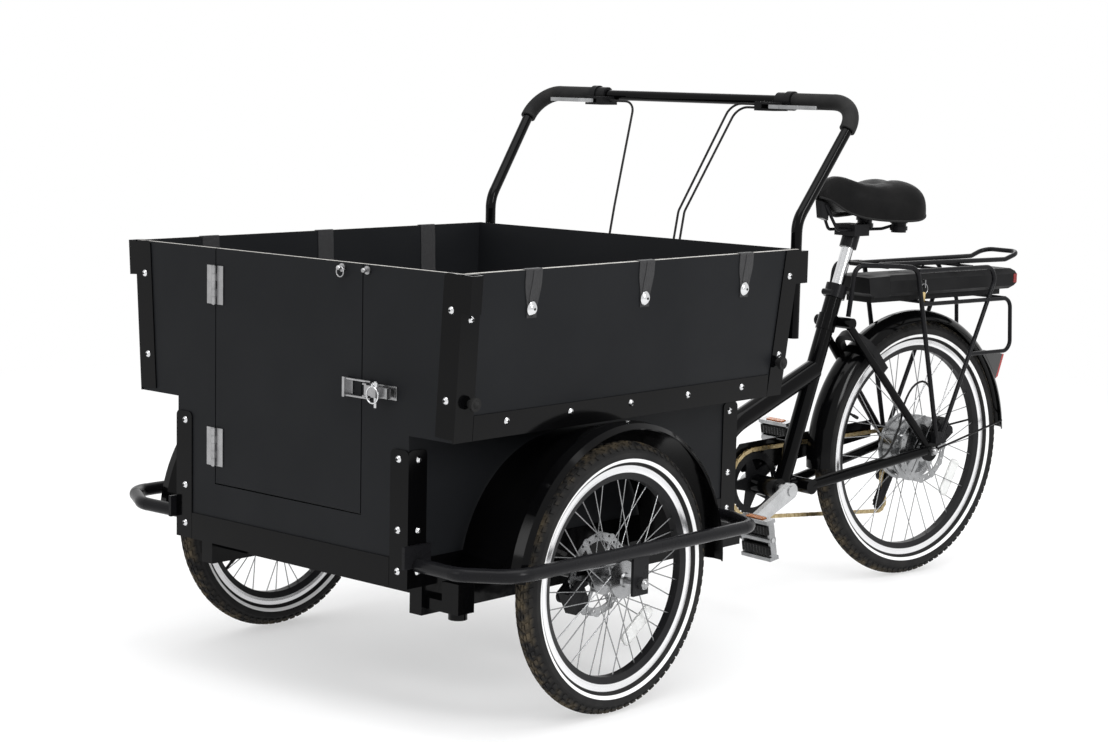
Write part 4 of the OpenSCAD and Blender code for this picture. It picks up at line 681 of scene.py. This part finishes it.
def saddle_point(t, a):
    c = math.cos(a)
    s = math.sin(a)
    y = eased(t, SADDLE_HALF) * math.copysign(abs(c) ** SADDLE_ROUND, c)
    edge = eased(t, SADDLE_EDGE)
    rise = eased(t, SADDLE_CROWN) - edge
    if s >= 0.0:
        reach = clamp((t - CHANNEL_FROM) / (1.0 - CHANNEL_FROM))
        channel = CHANNEL_DEPTH * math.exp(-(y / CHANNEL_HALF) ** 2) * math.sin(math.pi * reach)
        z = edge + rise * s ** SADDLE_DOME - channel * s
    else:
        z = edge + min(UNDER_RISE, UNDER_SHARE * rise) * abs(s) ** SADDLE_LIP
    return (SADDLE_NOSE - SADDLE_LEN * t, y, SADDLE_RAIL_Z + z)


def saddle_station(i):
    """Stations crowd towards both ends, where the shape turns fastest."""
    u = i / (SADDLE_RINGS - 1)
    return SADDLE_TIP + (1.0 - 2 * SADDLE_TIP) * (0.5 - 0.5 * math.cos(math.pi * u))


points, faces = [], []
rows = [[saddle_point(saddle_station(i), a) for a in turns(SADDLE_SIDES)] for i in range(SADDLE_RINGS)]
add_grid(points, faces, rows, close_rows=False)
add_caps(points, faces, 0, SADDLE_SIDES)
saddle_pad = piece("saddle_pad", points, faces, looks["saddle"], "seat", REAR)
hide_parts("saddle")

PIPING_R = 1.7
PIPING_IN = 2.2
PIPING_UP = 2.0
PIPING_SUNK = 1.0
PIPING_SIDES = 10
PIPING_SKIP = 3
left_edge = [Vector(saddle_point(saddle_station(i), 0.0)) + Vector((0.0, -PIPING_IN, PIPING_UP))
             for i in range(PIPING_SKIP, SADDLE_RINGS - PIPING_SKIP)]
right_edge = [Vector((p.x, -p.y, p.z)) for p in reversed(left_edge)]
points, faces = [], []
piping_rows = tube_rows(left_edge + right_edge, PIPING_R + PIPING_IN - PIPING_SUNK, PIPING_SIDES)
add_grid(points, faces, piping_rows, close_rows=False)
add_caps(points, faces, 0, PIPING_SIDES)
piece("saddle_piping", points, faces, looks["rubber"], "seat", REAR)


# Harness straps: webbing from the inside over the top edge, folded down to a bolt
BOX_STEP_W = 840.0
BOX_STEP_Z = 536.0
BOX_TOP_W = 875.0
BOX_TOP_Z = 819.0
BOARD_T = 9.0
SIDE_LEAN = math.atan((BOX_TOP_W - BOX_STEP_W) / 2 / (BOX_TOP_Z - BOX_STEP_Z))
SIDE_H = (BOX_TOP_Z - BOX_STEP_Z) / math.cos(SIDE_LEAN)
LEFT_SIDE = FRONT @ Matrix.Translation((0.0, BOX_STEP_W / 2 * MM, BOX_STEP_Z * MM)) \
    @ Matrix.Rotation(-SIDE_LEAN, 4, "X")
MIRROR_Y = Matrix.Diagonal((1.0, -1.0, 1.0, 1.0))
BOLT_X = (205.0, -99.0, -396.0)
BOLT_UP = 215.0
STRAP_W = 42.0
STRAP_END_W = 25.0
STRAP_T = 1.15
STRAP_IN = 206.0
FLAP_T = 1.05
STRAP_CLEAR = 0.25
STRAP_COLUMNS = 6
STRAP_TAIL = 16.0
OUTSIDE_STEPS = 12
FOLD_STEPS = 6
FOLD_R = 1.0
FOLD_DROP = 0.8
INSIDE_STEPS = 15
STRAP_SWAY = 3.0
STRAP_BULGE = 0.9
# The end under the bolt widens to the strap's full width over these shares of the outside
NECK_FROM = 0.15
NECK_SPAN = 0.6
FLAP_STEPS = 10
FLAP_GAP = 0.05
FLAP_DROP = 0.5
FLAP_OVER_BOLT = 11.0
# Edges of the flap: where each starts across the strap, how far it runs in, and the outer edge's lag
FLAP_INNER = 2.0
FLAP_INNER_RUN = 7.0
FLAP_OUTER = 1.0
FLAP_OUTER_RUN = 14.0
FLAP_OUTER_FROM = 0.55
FLAP_LAG = 13.0
FLAP_LAG_EASE = 0.55


def ribbon(points, faces, uvs, line, thickness):
    """Adds a strap along a line of (left edge, right edge, outward) stations."""
    rows = []
    run = 0.0
    past = None
    for left, right, outward in line:
        centre = (left + right) / 2
        run += 0.0 if past is None else (centre - past).length
        past = centre
        width = (right - left).length
        near = [left.lerp(right, k / STRAP_COLUMNS) for k in range(STRAP_COLUMNS + 1)]
        rows.append(near + [p + outward * thickness for p in reversed(near)])
        uvs.extend([(width * (k / STRAP_COLUMNS - 0.5) * MM, run * MM) for k in range(STRAP_COLUMNS + 1)])
        uvs.extend([(width * (0.5 - k / STRAP_COLUMNS) * MM, run * MM) for k in range(STRAP_COLUMNS + 1)])
    base = len(points)
    add_grid(points, faces, rows, close_rows=False)
    add_caps(points, faces, base, 2 * (STRAP_COLUMNS + 1))


def strap(name, x, mirrored):
    points, faces, uvs = [], [], []
    out = Vector((0.0, 1.0, 0.0))
    line = []

    def station(width, y, z, outward, shift=0.0):
        line.append((Vector((x + shift - width / 2, y, z)), Vector((x + shift + width / 2, y, z)), outward))

    low = BOLT_UP - STRAP_TAIL
    for k in range(OUTSIDE_STEPS + 1):
        u = k / OUTSIDE_STEPS
        neck = smooth_step(clamp((u - NECK_FROM) / NECK_SPAN))
        station(STRAP_END_W + (STRAP_W - STRAP_END_W) * neck, STRAP_CLEAR,
                low + (SIDE_H - FOLD_R - low) * u, out)
    for start, y in ((0.0, STRAP_CLEAR - FOLD_R), (90.0, -BOARD_T - STRAP_CLEAR + FOLD_R)):
        for k in range(FOLD_STEPS + 1):
            a = math.radians(start + 90.0 * k / FOLD_STEPS)
            way = Vector((0.0, math.cos(a), math.sin(a)))
            station(STRAP_W, y + FOLD_R * math.cos(a), SIDE_H - FOLD_DROP + FOLD_R * math.sin(a), way)
    for k in range(1, INSIDE_STEPS + 1):
        u = k / INSIDE_STEPS
        sway = STRAP_SWAY * math.sin(math.pi * u) ** 2
        station(STRAP_W, -BOARD_T - STRAP_CLEAR - STRAP_BULGE * math.sin(math.pi * u),
                SIDE_H - STRAP_IN * u - FOLD_R, -out, sway)
    ribbon(points, faces, uvs, line, STRAP_T)

    # Second ply, folded across the first towards the bolt
    flap = []
    high = SIDE_H - FLAP_DROP
    y = STRAP_CLEAR + STRAP_T + FLAP_GAP
    for k in range(FLAP_STEPS + 1):
        u = k / FLAP_STEPS
        z = high + (BOLT_UP + FLAP_OVER_BOLT - high) * u
        late = clamp((u - FLAP_OUTER_FROM) / (1.0 - FLAP_OUTER_FROM))
        inner = Vector((x + FLAP_INNER + FLAP_INNER_RUN * smooth_step(u), y, z))
        outer = Vector((x - STRAP_W / 2 + FLAP_OUTER + FLAP_OUTER_RUN * late, y,
                        z + FLAP_LAG * u * (1.0 - FLAP_LAG_EASE * u)))
        flap.append((inner, outer, out))
    ribbon(points, faces, uvs, flap, FLAP_T)
    matrix = (MIRROR_Y @ LEFT_SIDE) if mirrored else LEFT_SIDE
    placed = [matrix @ (Vector(p) * MM) / MM for p in points]
    obj = piece(name, placed, faces, looks["webbing"], "box")
    layer = obj.data.uv_layers.new(name="weave")
    for loop in obj.data.loops:
        layer.data[loop.index].uv = uvs[loop.vertex_index]
    return obj


straps = [strap(f"{side}_strap_{i + 1}", x, side == "right")
          for side in ("left", "right") for i, x in enumerate(BOLT_X)]
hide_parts("harness_straps")


# Brake cables, from the levers down the back of the box
CABLE_D = 5.0
CABLE_BEND = 32.0
CABLE_START = (-733.0, 207.0)
CABLE_TURN = 45.0
CABLE_KNEE = (-622.0, 872.0)
CABLE_WALL_X = -546.5
CABLE_END_Z = 262.0
ARC_STEPS = 8
SHEATH_RESOLUTION = 4


def rounded_path(corners, radius):
    """Line through the corners, with each of them rounded."""
    path = [corners[0]]
    for a, b, c in zip(corners, corners[1:], corners[2:]):
        u = (b - a).normalized()
        w = (c - b).normalized()
        turn = math.acos(max(-1.0, min(1.0, u.dot(w))))
        back = radius * math.tan(turn / 2)
        inward = (w - u * u.dot(w)).normalized()
        start = b - u * back
        centre = start + inward * radius
        for k in range(ARC_STEPS + 1):
            angle = turn * k / ARC_STEPS
            path.append(centre - inward * radius * math.cos(angle) + u * radius * math.sin(angle))
    path.append(corners[-1])
    return path


def sheath(name, path, body):
    data = bpy.data.curves.new(name, "CURVE")
    data.dimensions = "3D"
    data.bevel_depth = CABLE_D / 2 * MM
    data.bevel_resolution = SHEATH_RESOLUTION
    data.use_fill_caps = True
    spline = data.splines.new("POLY")
    spline.points.add(len(path) - 1)
    for point, place in zip(spline.points, path):
        point.co = (*place, 1.0)
    data.materials.append(looks["rubber"])
    obj = bpy.data.objects.new(name, data)
    scene.collection.objects.link(obj)
    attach(obj, body)
    length = sum((b - a).length for a, b in zip(path, path[1:]))
    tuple(path[0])
    return obj


def cable(name, wall_y, lever_z, side):
    corners = [Vector(p) for p in (
        (CABLE_START[0], side * CABLE_START[1], lever_z),
        (CABLE_START[0], side * (wall_y + CABLE_TURN), lever_z),
        (CABLE_KNEE[0], side * wall_y, CABLE_KNEE[1]),
        (CABLE_WALL_X, side * wall_y, BOX_STEP_Z),
        (CABLE_WALL_X, side * wall_y, CABLE_END_Z),
    )]
    return sheath(name, [FRONT @ (p * MM) for p in rounded_path(corners, CABLE_BEND)], "box")


cables = [
    cable("left_upper_cable", wall_y=84.0, lever_z=1096.5, side=1),
    cable("left_lower_cable", wall_y=100.0, lever_z=1089.5, side=1),
    cable("right_cable", wall_y=92.0, lever_z=1093.0, side=-1),
]
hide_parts("brake_cables")

# Rear brake cable: along the left chain stay, up inside the seat stay and down into the caliper
REAR_CABLE = (
    (-772.0, 33.5, 256.0), (-800.0, 36.1, 264.0), (-880.0, 44.0, 276.8), (-945.0, 50.4, 287.0),
    (-990.0, 53.5, 297.0), (-1020.0, 52.0, 325.0), (-1042.0, 50.0, 362.0), (-1056.0, 48.0, 410.0),
    (-1081.0, 49.0, 448.0), (-1112.0, 52.0, 461.0), (-1137.0, 53.0, 445.0), (-1147.0, 53.0, 415.0),
    (-1154.0, 53.0, 390.0), (-1172.0, 53.0, 360.0),
)
CABLE_STEPS = 3


def smooth_path(points, steps):
    """Curve through all the points, without corners."""
    line = [points[0], *points, points[-1]]
    path = []
    for a, b, c, d in zip(line, line[1:], line[2:], line[3:]):
        for k in range(steps):
            t = k / steps
            path.append(b + (c - a) * (t / 2) + (a * 2 - b * 5 + c * 4 - d) * (t * t / 2)
                        + (b * 3 - a - c * 3 + d) * (t ** 3 / 2))
    return path + [points[-1]]


rear_route = smooth_path([Vector(p) for p in REAR_CABLE], CABLE_STEPS)
sheath("rear_brake_cable", [REAR @ (p * MM) for p in rear_route], "rear_frame")


# Sockets in the round heads of the screws, as dark hexagons standing on the heads: painted shade where each
# socket's hole would be
# Near-black look of the hexagons: painted shade of the sockets' holes
socket_shade_look = matt_look("painted_socket_shade", (0.01, 0.01, 0.01), (0.014, 0.014, 0.014), 0.5, 400.0, 0.05)
SOCKET_R = 2.6
SOCKET_RAISE = 0.12
SOCKET_DEPTH = 0.5
SOCKET_SIDES = 6
WELD = 1e-6


def screw_heads(mesh):
    """Points of each loose part, with the direction that its largest flat faces away from."""
    work = bmesh.new()
    work.from_mesh(mesh)
    bmesh.ops.remove_doubles(work, verts=work.verts, dist=WELD)
    seen = set()
    for vert in work.verts:
        if vert in seen:
            continue
        stack = [vert]
        group = []
        seen.add(vert)
        while stack:
            v = stack.pop()
            group.append(v)
            for edge in v.link_edges:
                other = edge.other_vert(v)
                if other not in seen:
                    seen.add(other)
                    stack.append(other)
        flats = {}
        for face in {f for v in group for f in v.link_faces}:
            key = tuple(round(c, 2) for c in face.normal)
            flats[key] = flats.get(key, 0.0) + face.calc_area()
        base_way = Vector(max(sorted(flats), key=lambda k: flats[k])).normalized()
        yield [v.co.copy() for v in group], -base_way
    work.free()


points, faces = [], []
for group, out in screw_heads(nodes["panel_screws"].data):
    reach = max(p.dot(out) for p in group)
    centre = sum(group, Vector()) / len(group)
    middle = centre + out * (reach - centre.dot(out)) + out * SOCKET_RAISE * MM
    side = out.orthogonal().normalized()
    other = out.cross(side)
    hexagon = [(side * math.cos(a) + other * math.sin(a)) * SOCKET_R for a in turns(SOCKET_SIDES)]
    rings = [[middle / MM + corner - out * depth for corner in hexagon] for depth in (0.0, SOCKET_DEPTH)]
    base = len(points)
    add_grid(points, faces, rings, close_rows=False)
    add_caps(points, faces, base, SOCKET_SIDES)
piece("screw_sockets", points, faces, socket_shade_look, "box")


# Pedals: amber reflectors on both ends and ribbed rubber treads on both faces
amber_look = clear_look("amber_reflector", (0.75, 0.22, 0.015), 520.0)
PEDAL_HALF = 45.0
PEDAL_TILT = math.radians(80.0)
PEDAL_PLATE = (52.0, 15.0)
PEDAL_PLATE_T = 2.0
PEDAL_PLATE_CORNER = 3.0
PEDAL_PLATE_EDGE = 0.5
TREAD_ALONG = PEDAL_HALF / 2
TREAD_HALF = 9.5
TREAD_FROM = 5.6
TREAD_TO = 12.8
TREAD_RIBS = 9
TREAD_REACH = 40.4
TREAD_BEVEL = 1.2
TREAD_NARROW = 1.0
# Layers of a rib: depth, inset at its ends, and inset at its sides
TREAD_LAYERS = ((TREAD_FROM, 0.0, 0.0), (TREAD_TO - TREAD_BEVEL, 0.0, 0.0),
                (TREAD_TO, TREAD_BEVEL, TREAD_NARROW))
pedal_way = Vector((math.cos(PEDAL_TILT), 0.0, math.sin(PEDAL_TILT)))
pedal_face = Vector((-math.sin(PEDAL_TILT), 0.0, math.cos(PEDAL_TILT)))
pedal_side = Vector((0.0, 1.0, 0.0))


def dress_pedal(node):
    low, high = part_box(node)
    middle = REAR.inverted() @ ((low + high) / 2) / MM
    for tag, end in (("upper", 1.0), ("lower", -1.0)):
        plate, plate_faces = rounded_plate(*PEDAL_PLATE, PEDAL_PLATE_CORNER, PEDAL_PLATE_T, PEDAL_PLATE_EDGE)
        placed = [middle + pedal_way * end * (PEDAL_HALF + z) + pedal_side * x + pedal_face * y
                  for x, y, z in plate]
        piece(f"{node}_{tag}_reflector", placed, plate_faces, amber_look, node, REAR)
    points, faces = [], []
    rib = 2 * TREAD_REACH / TREAD_RIBS
    for along in (-TREAD_ALONG, TREAD_ALONG):
        for face in (-1.0, 1.0):
            for k in range(TREAD_RIBS):
                near = -TREAD_REACH + rib * k
                rows = []
                for depth, inset, narrow in TREAD_LAYERS:
                    half = TREAD_HALF - inset
                    corners = ((-half, near + narrow), (half, near + narrow),
                               (half, near + rib - narrow), (-half, near + rib - narrow))
                    rows.append([middle + pedal_way * (along + x) + pedal_side * y + pedal_face * face * depth
                                 for x, y in corners])
                base = len(points)
                add_grid(points, faces, rows, close_rows=False)
                add_caps(points, faces, base, len(rows[0]))
    piece(f"{node}_treads", points, faces, looks["rubber"], node, REAR)


dress_pedal("left_pedal")
dress_pedal("right_pedal")


# Battery tail light and the ring with the spare key
BATTERY_END = -1430.0
BATTERY_SIDE = 55.0
LIGHT_Z = (677.5, 698.5)
LIGHT_ROUND = 11.0
LIGHT_PROUD = 0.6
LIGHT_SUNK = 0.6
red_look = clear_look("battery_light", (0.42, 0.012, 0.012), 500.0)


def round_the_end(out):
    """Corners in plan of a line round the battery's back end, a distance outside its faces."""
    back, side, front = BATTERY_END - out, BATTERY_SIDE + out, BATTERY_END + LIGHT_ROUND
    return (front, side), (back, side), (back, -side), (front, -side)


light_rows = []
for (x0, y0), (x1, y1) in zip(round_the_end(LIGHT_PROUD), round_the_end(-LIGHT_SUNK)):
    light_rows.append([Vector((x0, y0, LIGHT_Z[1])), Vector((x0, y0, LIGHT_Z[0])),
                       Vector((x1, y1, LIGHT_Z[0])), Vector((x1, y1, LIGHT_Z[1]))])
points, faces = [], []
add_grid(points, faces, light_rows, close_rows=False)
add_caps(points, faces, 0, len(light_rows[0]))
piece("battery_light", points, faces, red_look, "battery", REAR)

KEY_HOLE = (-1086.8, 67.0, 690.0)
RING_R = 12.0
RING_WIRE = 0.9
RING_STEPS = 40
WIRE_SIDES = 10
ring_middle = Vector(KEY_HOLE) - Vector((0.0, 0.0, RING_R))
points, faces = [], []
ring_rows = []
for a in turns(RING_STEPS):
    outward = Vector((math.sin(a), 0.0, math.cos(a)))
    ring_rows.append([ring_middle + outward * (RING_R + RING_WIRE * math.cos(b))
                      + Vector((0.0, RING_WIRE * math.sin(b), 0.0)) for b in turns(WIRE_SIDES)])
add_grid(points, faces, ring_rows)
piece("key_ring", points, faces, looks["steel"], "battery_key", REAR)
brass_look = metal_look("brass", (0.62, 0.46, 0.2), (0.72, 0.56, 0.28), 0.28)
KEY_SIZE = (9.0, 44.0)
KEY_CORNER = 3.0
KEY_T = 1.8
KEY_EDGE = 0.3
KEY_ASIDE = 3.0
KEY_BELOW = 17.0
BOW_FROM = -4.0
BOW_SWELL = 1.9
plate, faces = rounded_plate(*KEY_SIZE, KEY_CORNER, KEY_T, KEY_EDGE)
key_place = Vector(KEY_HOLE) + Vector((KEY_ASIDE, -KEY_T / 2, -2 * RING_R - KEY_BELOW))
placed = [key_place + Vector((x * (BOW_SWELL if y >= BOW_FROM else 1.0), z, y)) for x, y, z in plate]
piece("spare_key", placed, faces, brass_look, "battery_key", REAR)


# Softened edges where the boards, profiles and cases catch the light
BEVELS = {
    "front_panel": 0.5, "door": 0.6, "rear_panel": 0.5, "upper_side_panels": 0.6, "lower_side_panels": 0.5,
    "benches": 0.7, "box_trim": 0.5, "corner_sockets": 0.6, "battery": 1.2, "battery_cradle": 0.8,
}
BEVEL_SEGMENTS = 2
BEVEL_ANGLE = math.radians(50.0)
for name, width in BEVELS.items():
    bevel = nodes[name].modifiers.new("soft_edges", "BEVEL")
    bevel.width = width * MM
    bevel.segments = BEVEL_SEGMENTS
    bevel.limit_method = "ANGLE"
    bevel.angle_limit = BEVEL_ANGLE
    bevel.harden_normals = False


# Stage: pale floor, white surroundings and soft studio light
WHITE = (1.0, 1.0, 1.0)
FLOOR_HALF = 30.0
FLOOR_COLOUR = (0.93, 0.93, 0.935)
FLOOR_SPECULAR = 0.1
# The floor turns white away from the part, between these distances; near it this share is white already
FADE_FROM = 1.9
FADE_TO = 4.2
FADE_NEAR = 0.5
floor_mesh = bpy.data.meshes.new("floor")
floor_mesh.from_pydata([(-FLOOR_HALF, -FLOOR_HALF, 0.0), (FLOOR_HALF, -FLOOR_HALF, 0.0),
                        (FLOOR_HALF, FLOOR_HALF, 0.0), (-FLOOR_HALF, FLOOR_HALF, 0.0)], [], [(0, 1, 2, 3)])
floor = bpy.data.objects.new("floor", floor_mesh)
scene.collection.objects.link(floor)
floor_look = Look("pale_floor", roughness=0.7, specular=FLOOR_SPECULAR)
floor_look.set("Base Color", tint(FLOOR_COLOUR))
far_away = floor_look.vector("LENGTH", floor_look.coords, out="Value")
white = floor_look.add("ShaderNodeEmission", {"Color": tint(WHITE), "Strength": 1.0})
whiteness = floor_look.spread(far_away, FADE_FROM, FADE_TO, FADE_NEAR, 1.0)
fade = floor_look.add("ShaderNodeMixShader", {"Fac": whiteness})
floor_look.put(fade.inputs[1], floor_look.shader.outputs["BSDF"])
floor_look.put(fade.inputs[2], white.outputs["Emission"])
floor_output = floor_look.tree.nodes["Material Output"]
floor_look.put(floor_output.inputs["Surface"], fade.outputs["Shader"])
floor_mesh.materials.append(floor_look.material)

world = bpy.data.worlds.new("studio")
scene.world = world
world.use_nodes = True
tree = world.node_tree
tree.nodes.clear()
surround = tree.nodes.new("ShaderNodeBackground")
surround.inputs["Color"].default_value = tint(WHITE)
surround.inputs["Strength"].default_value = 1.0
output = tree.nodes.new("ShaderNodeOutputWorld")
tree.links.new(surround.outputs["Background"], output.inputs["Surface"])

LOOK_AT = Vector((0.25, 0.0, 0.5))


def softbox(name, place, size, power):
    data = bpy.data.lights.new(name, "AREA")
    data.shape = "RECTANGLE"
    data.size = size[0]
    data.size_y = size[1]
    data.energy = power
    lamp = bpy.data.objects.new(name, data)
    lamp.location = place
    lamp.rotation_euler = (LOOK_AT - Vector(place)).to_track_quat("-Z", "Y").to_euler()
    scene.collection.objects.link(lamp)


softbox("overhead", place=(0.9, 0.8, 4.2), size=(4.5, 3.0), power=120.0)
softbox("key_left", place=(0.6, 4.6, 2.6), size=(0.9, 2.0), power=90.0)
softbox("front_right", place=(4.6, -1.2, 2.4), size=(0.7, 1.8), power=18.0)
softbox("back_rim", place=(-3.6, -2.6, 2.8), size=(3.0, 1.6), power=28.0)

# Camera as in the photograph
CAMERA_PLACE = Vector((3.7857, 3.1147, 1.1699))
CAMERA_YAW = math.radians(221.95)
CAMERA_PITCH = math.radians(7.57)
CAMERA_ROLL = math.radians(1.25)
FOCAL_PX = 2309.2
PHOTO_SIZE = (1108, 742)
SENSOR_MM = 36.0
CLIP_END = 200.0
ahead = Vector((math.cos(CAMERA_YAW) * math.cos(CAMERA_PITCH), math.sin(CAMERA_YAW) * math.cos(CAMERA_PITCH),
                -math.sin(CAMERA_PITCH)))
level = Vector((math.sin(CAMERA_YAW), -math.cos(CAMERA_YAW), 0.0))
upright = level.cross(ahead)
right = level * math.cos(CAMERA_ROLL) + upright * math.sin(CAMERA_ROLL)
up = upright * math.cos(CAMERA_ROLL) - level * math.sin(CAMERA_ROLL)
camera_data = bpy.data.cameras.new("camera")
camera_data.sensor_fit = "HORIZONTAL"
camera_data.sensor_width = SENSOR_MM
camera_data.lens = FOCAL_PX / PHOTO_SIZE[0] * SENSOR_MM
camera_data.clip_end = CLIP_END
camera = bpy.data.objects.new("camera", camera_data)
scene.collection.objects.link(camera)
turned = Matrix((right, up, -ahead)).transposed().to_4x4()
camera.matrix_world = Matrix.Translation(CAMERA_PLACE) @ turned
scene.camera = camera
scene.render.resolution_x = PHOTO_SIZE[0]
scene.render.resolution_y = PHOTO_SIZE[1]
scene.view_settings.view_transform = "Standard"
scene.view_settings.look = "None"
scene.view_settings.exposure = 0.0
scene.view_settings.gamma = 1.0
